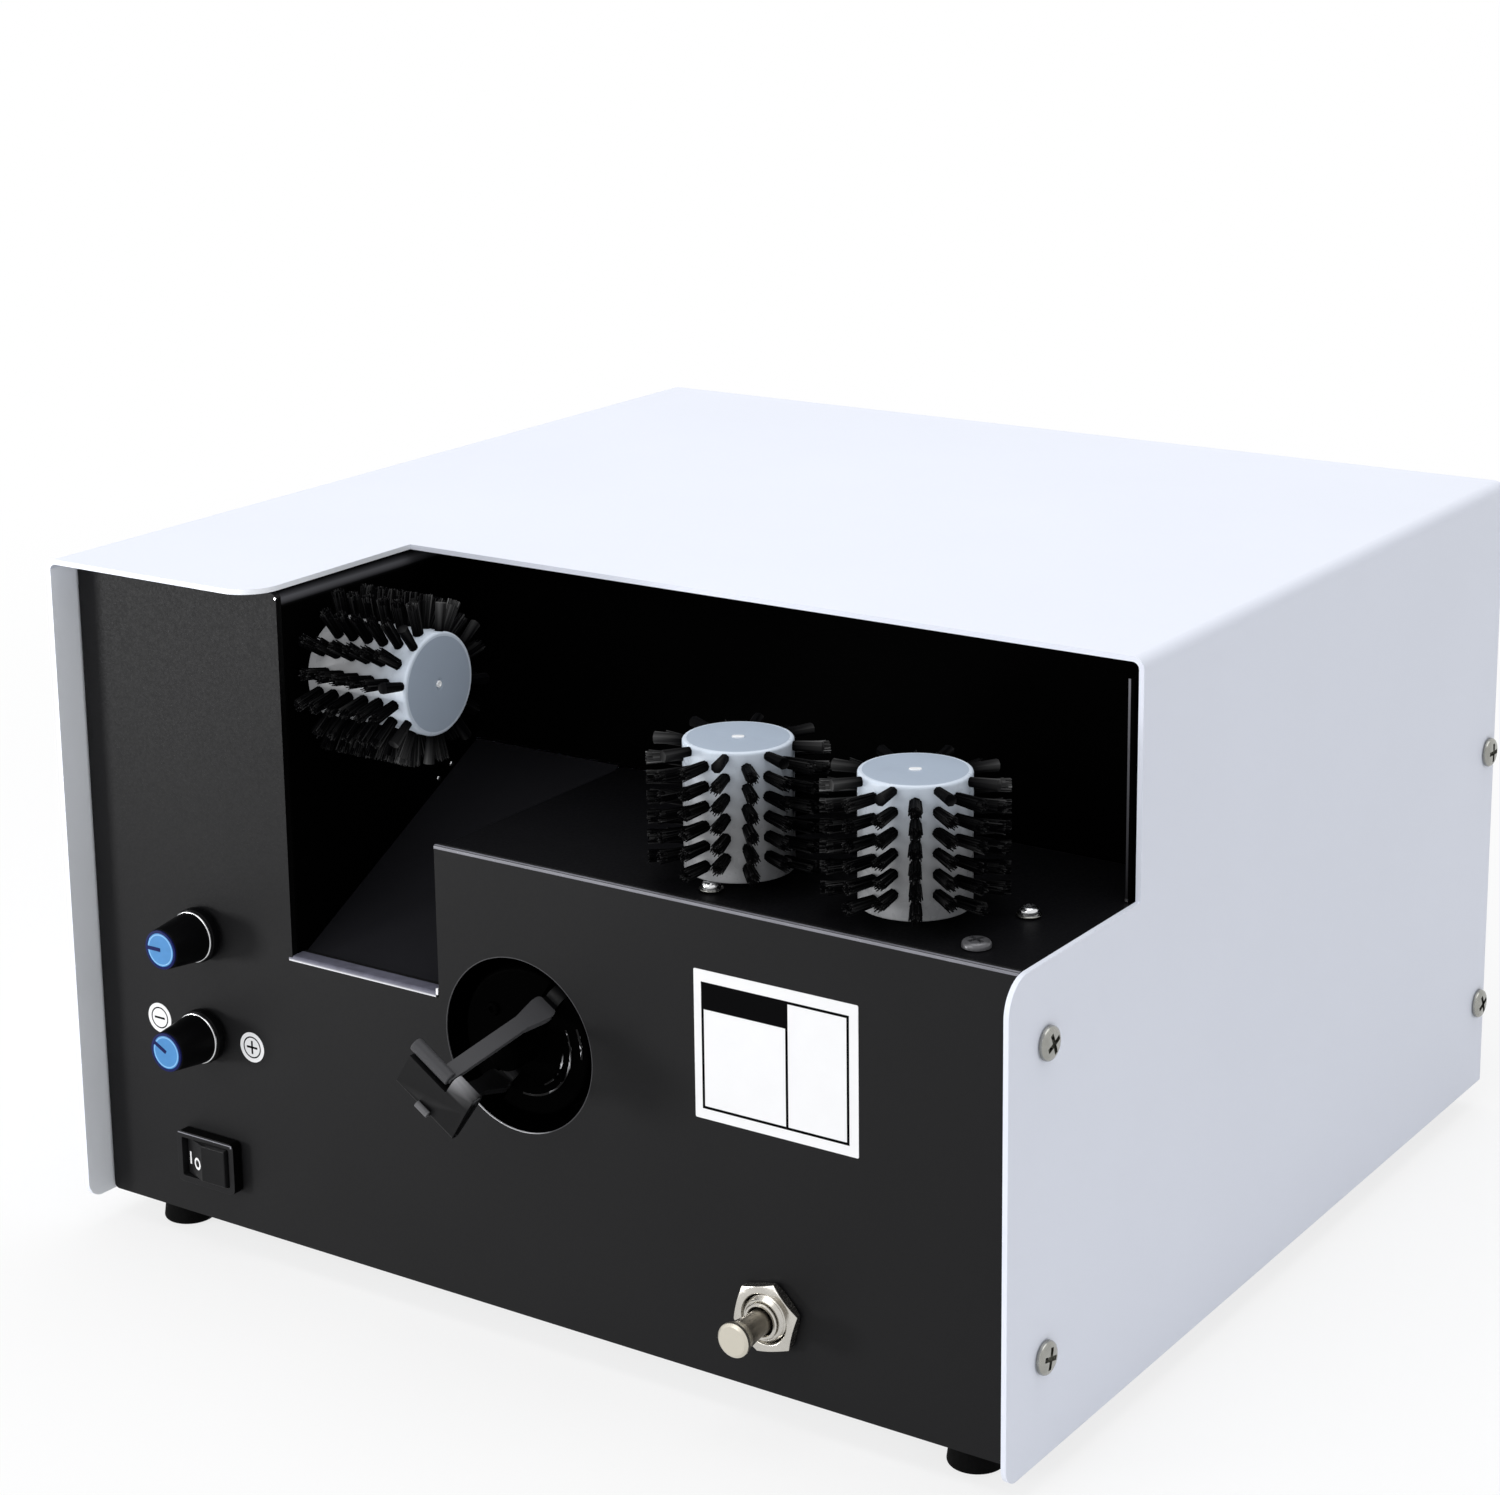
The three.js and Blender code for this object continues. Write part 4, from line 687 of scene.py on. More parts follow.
class Growth:
    """Geometry node tree built step by step, with named inputs for its sizes."""

    def __init__(self, name: str) -> None:
        """Starts an empty tree.

        Args:
            name: the tree's name.
        """
        self.tree = bpy.data.node_groups.new(name, "GeometryNodeTree")
        for way in ("INPUT", "OUTPUT"):
            self.tree.interface.new_socket("Geometry", in_out=way, socket_type="NodeSocketGeometry")
        self.add = partial(add_node, self.tree)
        self.source = self.tree.nodes.new("NodeGroupInput")
        self.values: dict[str, object] = {}

    def size(self, name: str, value: float | int | bpy.types.Material) -> bpy.types.NodeSocket:
        """Adds a named input.

        Args:
            name: the input's name.
            value: its value, a number, a whole number or a material.

        Returns:
            The socket that gives the value inside the tree.
        """
        kinds = {int: "NodeSocketInt", float: "NodeSocketFloat"}
        kind = kinds.get(type(value), "NodeSocketMaterial")
        socket = self.tree.interface.new_socket(name, in_out="INPUT", socket_type=kind)
        self.values[socket.identifier] = value
        return self.source.outputs[name]

    def maths(self, operation: str, *values: object) -> bpy.types.NodeSocket:
        """Adds one step of arithmetic on numbers or sockets."""
        inputs = {f"n{i}": value for i, value in enumerate(values)}
        return self.add("ShaderNodeMath", settings={"operation": operation}, **inputs)

    plus = partialmethod(maths, "ADD")
    minus = partialmethod(maths, "SUBTRACT")
    times = partialmethod(maths, "MULTIPLY")
    shared = partialmethod(maths, "DIVIDE")
    power = partialmethod(maths, "POWER")
    cosine = partialmethod(maths, "COSINE")
    sine = partialmethod(maths, "SINE")
    floor = partialmethod(maths, "FLOOR")
    rest = partialmethod(maths, "FLOORED_MODULO")

    def point(self, x: object = 0.0, y: object = 0.0, z: object = 0.0) -> bpy.types.NodeSocket:
        """Joins three numbers into a vector."""
        return self.add("ShaderNodeCombineXYZ", X=x, Y=y, Z=z)

    def polar(self, angle: object, radius: object, place: object) -> bpy.types.NodeSocket:
        """Gives the point at an angle, a radius and a place along Z."""
        return self.point(self.times(self.cosine(angle), radius),
                          self.times(self.sine(angle), radius), place)

    def copies(self, places: bpy.types.NodeSocket, one: bpy.types.NodeSocket,
               **options: object) -> bpy.types.NodeSocket:
        """Sets a copy of a shape on each point."""
        return self.add("GeometryNodeInstanceOnPoints", Points=places, Instance=one, **options)

    def join(self, *shapes: bpy.types.NodeSocket) -> bpy.types.NodeSocket:
        """Joins shapes into one geometry."""
        return self.add("GeometryNodeJoinGeometry", Geometry=list(shapes))

    def towards(self, way: bpy.types.NodeSocket) -> bpy.types.NodeSocket:
        """Gives the rotation that turns Z to a direction."""
        return self.add("FunctionNodeAlignRotationToVector", settings={"axis": "Z"}, Vector=way)

    def grow(self, name: str, geometry: bpy.types.NodeSocket, material: bpy.types.NodeSocket,
             matrix: Matrix, seeds: bpy.types.Mesh | None = None) -> bpy.types.Object:
        """Ends the tree, evaluates it once and keeps the plain mesh.

        Args:
            name: the piece's name.
            geometry: what the tree makes.
            material: the input that holds its material.
            matrix: where the result goes.
            seeds: the mesh that the tree starts from.

        Returns:
            An object at the origin, with its place in its mesh and no modifier.
        """
        real = self.add("GeometryNodeRealizeInstances", Geometry=geometry)
        painted = self.add("GeometryNodeSetMaterial", Geometry=real, Material=material)
        end = self.tree.nodes.new("NodeGroupOutput")
        self.tree.links.new(painted, end.inputs["Geometry"])
        start = seeds or bpy.data.meshes.new(name)
        thing = stand(name, start)
        step = thing.modifiers.new("growth", "NODES")
        step.node_group = self.tree
        for identifier, value in self.values.items():
            step[identifier] = value
        mesh = plain_mesh(thing)
        thing.modifiers.clear()
        thing.data = mesh
        bpy.data.meshes.remove(start)
        mesh.transform(TO_FRAME @ matrix)
        mesh.name = name
        return thing


@dataclass
class Housing:
    """White cover over the black sheet metal of the panel, the tower and the bay."""

    width: float = 300
    depth: float = 293
    floor_edge: float = 8
    foot: float = 8.6
    top: float = 195.5
    sheet: float = 2
    skin: float = 1.4
    liner: float = 1.4
    fold: float = 9
    bend: float = 3.2
    nose_round: float = 10
    step_round: float = 9
    toe_round: float = 5
    recess: float = PANEL_FACE
    gap: float = 0.3
    over: float = 1
    tower_edge: float = 74.6
    mouth: float = 64.1
    bay_depth: float = 90
    shelf_left: float = 125.2
    shelf_top: float = 133.4
    sill: float = 93.1
    lip: float = 5.5
    lip_drop: float = 6
    head_place: tuple[float, float] = (151, 84)
    head_hole: float = 23.5
    screw_places: tuple[tuple[float, float], ...] = ((18, 34.5), (18, 114), (288, 34.5), (288, 114))
    screw_hole: float = 2.25
    brush_places: tuple[tuple[float, float], ...] = ((205.6, 31), (256.6, 31))
    brush_foot: float = 136.1
    side_brush_place: tuple[float, float] = (31, 169)
    shelf_screw_x: tuple[float, float] = (205.6, 280.8)
    shelf_screw_y: tuple[float, float] = (18.5, 43.5)
    rivet_places: tuple[tuple[float, float], ...] = ((78.5, 128.9), (72.6, 126.1))

    @property
    def inside(self) -> tuple[float, float, float]:
        """The left, right and top of what fits inside the cover."""
        reach = self.sheet + self.gap
        return reach, self.width - self.sheet - self.gap, self.top - self.sheet - self.gap

    @property
    def bay_right(self) -> float:
        """The right side of the bay's walls, shelf and edges."""
        return self.width - self.sheet - 2 * self.gap

    @property
    def notch(self) -> float:
        """The height of the chute's cut in the front panel, below its folded lip."""
        return self.sill - self.lip_drop

    def screw_holes(self, low: float, high: float) -> Shape:
        """Draws rods through a side sheet at the cover's screws.

        Args:
            low: where they start along X.
            high: where they end.

        Returns:
            The rods, to be cut out.
        """
        holes = Shape()
        for place in self.screw_places:
            holes.rod(Axis.X, place, self.screw_hole, low, high, 24)
        return holes

    def flanges(self, panel: Shape, deep: Corner, right_roof: float) -> None:
        """Welds the side flanges onto an end panel.

        Args:
            panel: the panel's shape.
            deep: where the flanges start and end along Y.
            right_roof: the top of the right one.
        """
        left, right, roof = self.inside
        low = self.foot + 12
        sides = Shape().block((left, left + self.sheet), deep, (low, roof - 9))
        panel.weld(sides.block((right - self.sheet, right), deep, (low, right_roof)))

    def flange_holes(self, panel: Shape) -> None:
        """Cuts the cover's screws out of an end panel's side flanges.

        Args:
            panel: the panel's shape.
        """
        left, right, _ = self.inside
        panel.cut(self.screw_holes(-self.over, left + self.sheet + self.over))
        panel.cut(self.screw_holes(right - self.sheet - self.over, self.width + self.over))

    def cover(self) -> None:
        """Builds the white cover: one folded sheet, cut back around the open bay."""
        w, s, top, low = self.width, self.skin, self.top, self.floor_edge
        inner = self.bend - s
        section = rounded([
            (0, low), (s, low), (s, top - s, inner), (w - s, top - s, inner), (w - s, low),
            (w, low), (w, top, self.bend), (0, top, self.bend)], 8)
        step = self.shelf_top + 0.8
        edge, nose, bow, toe = self.tower_edge, self.nose_round, self.step_round, self.toe_round
        over = self.over
        bay = rounded([(edge, self.mouth), (edge, 0, nose), (edge - 2 * nose, 0),
                       (edge - 2 * nose, -over), (w + over, -over), (w + over, self.mouth)], 12)
        corner = rounded([(-over, step - 2 * bow), (0, step - 2 * bow), (0, step, bow), (2 * bow, step),
                          (2 * bow, step + over), (-over, step + over)], 12)
        heel = rounded([(-over, low + 2 * toe), (0, low + 2 * toe), (0, low, toe), (2 * toe, low),
                        (2 * toe, low - over), (-over, low - over)], 8)
        shell = Shape().draw(Axis.Y, section, 0, self.depth)
        shell.cut(Shape().draw(Axis.Z, bay, step, top + over))
        shell.cut(Shape().draw(Axis.X, corner, w - self.bend, w + over))
        shell.cut(Shape().draw(Axis.X, heel, -over, w + over))
        shell.cut(self.screw_holes(-over, w + over))
        bevel = 0.6
        sheet = shell.piece("cover_sheet", Finishes.WHITE, ["cover"], bevel, 4)

        def pale(point: Vector) -> float:
            """Finds the painted light: the roof's cut edge at the front, and the left wall's inside,
            painted a paler white.

            Args:
                point: the middle of a face.

            Returns:
                1 on the painted light and 0 elsewhere.
            """
            out = math.hypot(max(point.x - edge + nose, 0), max(nose - point.y, 0))
            cut = top - s + ON_PLANE < point.z < top - ON_PLANE and out > nose - bevel
            return 1 if abs(point.x - s) < ON_PLANE or (cut and point.y < self.mouth + bevel) else 0

        # Painted light: the roof's cut edge and the left wall's inside take the paler white.
        shade(sheet, pale, by_face=True)

    def front_panel(self, holes: Shape) -> None:
        """Builds the black front panel with its chute lip and side flanges.

        Args:
            holes: what the controls cut out of it.
        """
        left, right, roof = self.inside
        notch, over, back = self.notch, self.over, self.recess + self.sheet
        face = rounded([
            (left, self.foot, 1.5), (right, self.foot, 1.5), (right, self.shelf_top),
            (self.shelf_left, self.shelf_top), (self.shelf_left, notch), (self.tower_edge, notch),
            (self.tower_edge, roof, 1.5), (left, roof, 1.5)])
        lip = rounded([
            (self.recess, notch - over), (back, notch - over), (back, self.sill - self.sheet),
            (self.recess + self.lip, self.sill - self.sheet), (self.recess + self.lip, self.sill),
            (self.recess, self.sill, 1.6)], 8)
        panel = Shape().draw(Axis.Y, face, self.recess, back)
        panel.weld(Shape().draw(Axis.X, lip, self.tower_edge - 0.1, self.shelf_left + 0.1))
        self.flanges(panel, (self.recess + over, self.recess + 17), self.shelf_top - 14)
        holes.rod(Axis.Y, self.head_place, self.head_hole, self.recess - over, back + over, 96)
        panel.cut(holes)
        self.flange_holes(panel)
        sheet = panel.piece("front_panel_sheet", Finishes.PANEL, ["front_panel"], 0.3)

        def cut_edge(point: Vector) -> float:
            """Share of the painted shade, a near black, on the tower's cut edge that faces into the
            bay.
            """
            return (abs(point.x - self.tower_edge) < ON_PLANE and point.y > self.recess + 0.35
                    and point.z > self.sill)

        # Painted shade on the tower's cut edge.
        shade(sheet, cut_edge, by_face=True)

    def edges(self) -> None:
        """Builds the painted highlights on the edges around the bay, the chute and the head's hole, and
        the painted shade inside the hole.
        """
        right, (_, _, roof) = self.bay_right, self.inside
        face, shelf, wide, rise = self.recess, self.shelf_top, 0.9, 0.04
        # Painted highlight along the shelf's front edge and down the front of the bay's right wall.
        strip = Shape().draw(Axis.X, [
            (face - rise, shelf - wide), (face + wide, shelf - wide), (face + wide, shelf + rise),
            (face - rise, shelf + rise, 0.3)], self.shelf_left, right, arc=4)
        strip.block((right - 1.5, right - 0.9), (self.mouth - 0.05, self.mouth + 0.3),
                    (shelf + 0.4, roof - self.bend - 0.2))
        strip = strip.piece("bay_edges", Finishes.EDGE, bevel=0)
        # Painted shade: the line on the bay's right wall darkens towards its foot.
        shade(strip, lambda point: point.y >= self.mouth - 1 and 0.35 + 0.65 * (point.z < shelf + 1))
        proud, front, sill = 0.05, face - 0.05, self.sill
        low, near = sill - 1.4, face + self.lip - 1.2
        # Painted highlight: a light strip on the chute's folded lip, brighter along its bottom and its
        # top.
        lip = Shape().draw(Axis.X, [
            (front, low), (front + 0.5, low), (front + 0.5, sill - 0.3), (near, sill - 0.3),
            (near, sill + proud), (front, sill + proud, 0.8)],
            self.tower_edge - 1.2, self.shelf_left - self.gap, arc=5)
        lip.block((self.shelf_left - 1, self.shelf_left - self.gap), (front, front + 0.5),
                  (low, sill + 1))
        edge = lip.piece("lip_edge", Finishes.LIP, bevel=0)
        shade(edge, lambda point: point.z < low + 0.1 or point.z > sill + 2 * proud)
        hole = self.head_hole
        # Painted highlight: a thin grey ring on the hole's front edge.
        ring = Shape().turn(Axis.Y, self.head_place, [
            (hole - 0.03, face - proud), (hole + 0.2, face - proud), (hole + 0.2, face + proud),
            (hole - 0.03, face + 0.3)], 96).piece("hole_rim", Finishes.RIM, bevel=0)

        def lit(point: Vector) -> float:
            """Share of the brighter painted highlight: full at the bottom left of the hole."""
            way = Vector((point.x - self.head_place[0], point.z - self.head_place[1])).normalized()
            return (way.dot(Vector((-0.3, -0.95))) - 0.72) / 0.2

        shade(ring, lit)
        # Painted shade: a near-black tube reaching back inside the hole.
        Shape().turn(Axis.Y, self.head_place, [
            (hole - 0.15, face + 0.35), (hole + 0.02, face + 0.35), (hole + 0.02, face + 18),
            (hole - 0.15, face + 18)], 96).piece("hole_liner", Finishes.ROTOR, bevel=0)

    def bay(self) -> None:
        """Builds the tower wall, the bay's back and right walls, the shelf and the chute floor."""
        right, (_, _, roof) = self.bay_right, self.inside
        edge, thick, fold, bend = self.tower_edge, 1.5, self.fold, 4.6
        start, liner = self.recess + self.sheet + self.gap, self.liner
        wall = Shape().draw(Axis.Y, [
            (edge - thick, self.notch), (edge, self.notch), (edge, roof, bend), (edge - fold, roof),
            (edge - fold, roof - thick), (edge - thick, roof - thick, bend - thick)],
            start, self.bay_depth, arc=12)
        wall.cut(Shape().rod(Axis.X, self.side_brush_place, 6.3, edge - fold - self.over,
                             edge + self.over))
        side = wall.piece("tower_side", Finishes.TOWER, ["tower_wall"], 0.25)

        def glint(point: Vector) -> float:
            """Share of the light along the tower's bend."""
            return 1 - abs((point.z - roof + bend) / bend - 0.6) / 0.35 if point.x > edge - bend else 0

        # Painted highlight along the tower's top bend, over its painted shade.
        shade(side, glint)
        low, deep = self.shelf_top + self.gap, self.bay_depth + self.gap
        back = Shape().draw(Axis.X, [
            (deep, low), (deep + liner, low), (deep + liner, roof - liner, 0.6),
            (deep + fold, roof - liner), (deep + fold, roof), (deep, roof, 2)],
            edge - thick, right, arc=8)
        back.weld(Shape().block((right - liner, right), (self.mouth, deep + liner),
                                (low, roof - self.bend)))
        # The bay's walls are near black: painted shade.
        back.piece("bay_walls", Finishes.BAY, ["bay_liner"], 0.2)
        left, under, drop = self.shelf_left, self.shelf_top - self.sheet, self.shelf_top - 44
        shelf = Shape().draw(Axis.Y, [
            (left, self.shelf_top, 2.2), (left, drop), (left + self.sheet, drop),
            (left + self.sheet, under, 0.4), (right, under), (right, self.shelf_top)],
            start, self.bay_depth, arc=8)
        holes = Shape()
        screws = [(x, y) for x in self.shelf_screw_x for y in self.shelf_screw_y]
        for places, radius in ((self.brush_places, 4.4), (screws, 1.8)):
            for place in places:
                holes.rod(Axis.Z, place, radius, under - self.over, self.shelf_top + self.over, 32)
        shelf.cut(holes)
        # The shelf's darker black is painted shade.
        shelf.piece("brush_shelf", Finishes.SHELF, ["shelf_plate"], 0.35, 3)
        nearest = self.recess + self.lip + self.gap
        walls = (edge + self.gap, left - self.gap)

        def slope(drop: float) -> Loop:
            """Outline of the floor, or of its skirt, with the given drop."""
            return [(nearest, self.sill - drop), (self.bay_depth, self.shelf_top - drop),
                    (self.bay_depth, self.shelf_top), (nearest, self.sill)]

        chute = Shape().draw(Axis.X, slope(thick), *walls)
        skirts = Shape().draw(Axis.X, slope(7), walls[0], walls[0] + thick)
        skirts.draw(Axis.X, slope(7), walls[1] - thick, walls[1])
        chute.weld(skirts).piece("chute_slope", Finishes.CHUTE, ["chute_floor"], 0.2)
        rivets = Shape()
        for place in self.rivet_places:
            rivets.turn(Axis.X, place, [(0, edge), (0.8, edge), (0.8, edge + 0.6, 0.5),
                                        (0, edge + 0.6)], 16, arc=4)
        # Painted glints: two small bright blocks, one at the panel's top corner by the tower's edge,
        # one at the foot of the bay's right wall.
        rivets.block((edge - 0.55, edge + 0.05), (self.recess - 0.06, self.recess + 0.5),
                     (roof - 1.5, roof - 0.9))
        rivets.block((right - 1.7, right - 0.8), (self.mouth - 0.06, self.mouth + 0.6),
                     (self.shelf_top + 0.35, self.shelf_top + 1.1))
        rivets.piece("chute_rivets", Finishes.BRIGHT, bevel=0)

    def rear_panel(self) -> None:
        """Builds the black rear panel with its round-ended vent slots and the hole for the inlet."""
        left, right, roof = self.inside
        outer = self.depth - 1
        inner = outer - self.sheet
        panel = Shape().draw(Axis.Y, rectangle((left, right), (self.foot, roof), 1.5), inner, outer)
        self.flanges(panel, (outer - 15, inner + self.over), roof - 9)
        wide, long, pitch, low, count = 3.2, 34, 8, self.floor_edge + 96, 8
        through = (inner - self.over, outer + self.over)
        slots = Shape().draw(Axis.Y, rectangle((-wide / 2, wide / 2), (low, low + long), 0.48 * wide),
                             *through)
        start = (self.width - (count - 1) * pitch) / 2
        panel.cut(slots.repeated([(start + i * pitch, 0, 0) for i in range(count)]))
        inlet = Inlet()
        panel.cut(inlet.openings(*through))
        self.flange_holes(panel)
        panel.piece("rear_panel_sheet", Finishes.PANEL, ["rear_panel"], 0.3)
        inlet.build()


@dataclass
class Inlet:
    """Appliance inlet in the rear panel: flange, shaped cavity, three pins and two screws."""

    x: float = 60
    z: float = 50
    width: float = 27
    tall: float = 20
    flange_width: float = 48
    flange_tall: float = 24
    face: float = 294
    flange: float = 1.7
    depth: float = 16
    cavity_width: float = 23.6
    cavity_tall: float = 16.4
    cavity_depth: float = 13
    slant: float = 4.5
    screw_step: float = 20
    screw_hole: float = 1.7
    screw_sink: float = 3.1
    pin_step: float = 7

    def spread(self, width: float, tall: float, radius: float) -> list[Corner]:
        """Corners of a rectangle about the inlet's middle."""
        return rectangle((self.x - width / 2, self.x + width / 2),
                         (self.z - tall / 2, self.z + tall / 2), radius)

    def openings(self, low: float, high: float) -> Shape:
        """Draws what the inlet cuts out of the rear panel.

        Args:
            low: where the openings start along Y.
            high: where they end.

        Returns:
            The openings' shape.
        """
        play = 0.6
        opening = Shape().draw(Axis.Y, self.spread(self.width + play, self.tall + play, 0.3),
                               low, high)
        for side in (-1, 1):
            opening.rod(Axis.Y, (self.x + side * self.screw_step, self.z), self.screw_hole,
                        low, high, 24)
        return opening

    def build(self) -> None:
        """Builds the moulding, its pins and its screws."""
        over, back = 1, self.face - self.depth
        moulding = Shape().draw(Axis.Y, self.spread(self.flange_width, self.flange_tall, 2.5),
                                self.face - self.flange, self.face)
        moulding.weld(Shape().draw(Axis.Y, self.spread(self.width, self.tall, 1.5), back,
                                   self.face - self.flange / 2))
        across, up, slant = self.cavity_width / 2, self.cavity_tall / 2, self.slant
        floor, x, z = self.face - self.cavity_depth, self.x, self.z
        cavity = Shape().draw(Axis.Y, [
            (x - across, z - up, 1.2), (x + across, z - up, 1.2), (x + across, z + up - slant, 0.8),
            (x + across - slant, z + up, 0.8), (x - across + slant, z + up, 0.8),
            (x - across, z + up - slant, 0.8)], floor, self.face + over, arc=5)
        places = [(x + side * self.screw_step, self.face - over, z) for side in (-1, 1)]
        for along, deep, _ in places:
            cavity.rod(Axis.Y, (along, z), self.screw_hole, self.face - 3, self.face + over, 24)
            cavity.rod(Axis.Y, (along, z), self.screw_sink, deep - 0.05, self.face + over, 32)
        moulding.cut(cavity).piece("inlet_moulding", Finishes.BEZEL, ["power_inlet"], 0.25)
        pins = Shape()
        for step, rise in ((-1, -2), (0, 2), (1, -2)):
            middle = x + step * self.pin_step
            pins.block((middle - 1, middle + 1), (floor - 0.3, floor + 9),
                       (z + rise - 2, z + rise + 2))
        pins.piece("inlet_pins", Finishes.BRIGHT, bevel=0.35, segments=3)
        Screws("inlet_screws", Finishes.BRIGHT, [], places, [(0, 1, 0)] * 2,
               head=2.9, rise=0.9, shank=1.4, tail=8, seed=9).build()


@dataclass
class Screws:
    """Row of pan-head screws with cross recesses, grown on points."""

    name: str
    finish: Finish
    nodes: list[str]
    places: list[tuple[float, float, float]]
    facings: list[tuple[float, float, float]]
    head: float
    rise: float
    shank: float
    tail: float
    seed: int = 3

    def build(self) -> None:
        """Grows one head with its shank and recess, and sets a copy on each place."""
        tree = Growth(self.name)
        head, rise = tree.size("Head radius", self.head), tree.size("Head rise", self.rise)
        shank, tail = tree.size("Shank radius", self.shank), tree.size("Shank length", self.tail)
        seed = tree.size("Seed", self.seed)
        finish = tree.size("Finish", self.finish.build())
        sides, steps = 32, 8
        grid = tree.add("GeometryNodeMeshGrid", Size_X=1.0, Size_Y=1.0,
                        Vertices_X=sides + 1, Vertices_Y=steps + 1)
        spot = tree.add("GeometryNodeInputPosition")
        split = tree.add("ShaderNodeSeparateXYZ", Vector=spot).node
        around = tree.times(split.outputs["X"], TURN)
        along = tree.times(tree.plus(split.outputs["Y"], 0.5), TURN / 4)
        flat = tree.power(tree.cosine(along), 0.45)
        high = tree.power(tree.sine(along), 0.6)
        dome = tree.add("GeometryNodeSetPosition", Geometry=grid, Position=tree.polar(
            around, tree.times(flat, head), tree.times(high, rise)))
        dome = tree.add("GeometryNodeMergeByDistance", Geometry=dome, Distance=0.001)
        cap = tree.add("GeometryNodeMeshCircle", settings={"fill_type": "NGON"}, Vertices=sides,
                       Radius=head)
        closed = tree.add("GeometryNodeMergeByDistance", Distance=0.01, Geometry=tree.join(dome, cap))
        slot_size = tree.point(tree.times(head, 1.3), tree.times(head, 0.3), tree.times(rise, 1.5))
        bar = tree.add("GeometryNodeMeshCube", Size=slot_size)
        lift = tree.point(0.0, 0.0, tree.times(rise, 1.05))
        bars = [tree.add("GeometryNodeTransform", Geometry=bar, Translation=lift,
                         Rotation=(0, 0, turn)) for turn in (0, TURN / 4)]
        carved = tree.add("GeometryNodeMeshBoolean", settings={"operation": "DIFFERENCE",
                          "solver": "EXACT"}, n0=closed, n1=bars)
        rod = tree.add("GeometryNodeMeshCylinder", Vertices=16, Radius=shank, Depth=tail)
        sunk = tree.add("GeometryNodeTransform", Geometry=rod, Translation=tree.point(
            0.0, 0.0, tree.times(tail, -0.5)))
        screw = tree.join(carved, sunk)
        facing = tree.add("GeometryNodeInputNamedAttribute", settings={"data_type": "FLOAT_VECTOR"},
                          Name="facing")
        spin = tree.add("FunctionNodeRandomValue", 1, n2=0.0, n3=TURN / 4, Seed=seed)
        spun = tree.add("FunctionNodeRotateRotation", settings={"rotation_space": "LOCAL"},
                        Rotation=tree.towards(facing), Rotate_By=tree.add(
                            "FunctionNodeEulerToRotation", Euler=tree.point(0.0, 0.0, spin)))
        placed = tree.copies(tree.source.outputs["Geometry"], screw, Rotation=spun)
        seeds = points(self.places)
        facings = seeds.attributes.new("facing", "FLOAT_VECTOR", "POINT")
        facings.data.foreach_set("vector", [value for facing in self.facings for value in facing])
        thing = tree.grow(self.name, placed, finish, MACHINE, seeds)
        smooth_by_angle(thing.data, 35)
        dress(thing, self.finish, "housing", self.nodes)


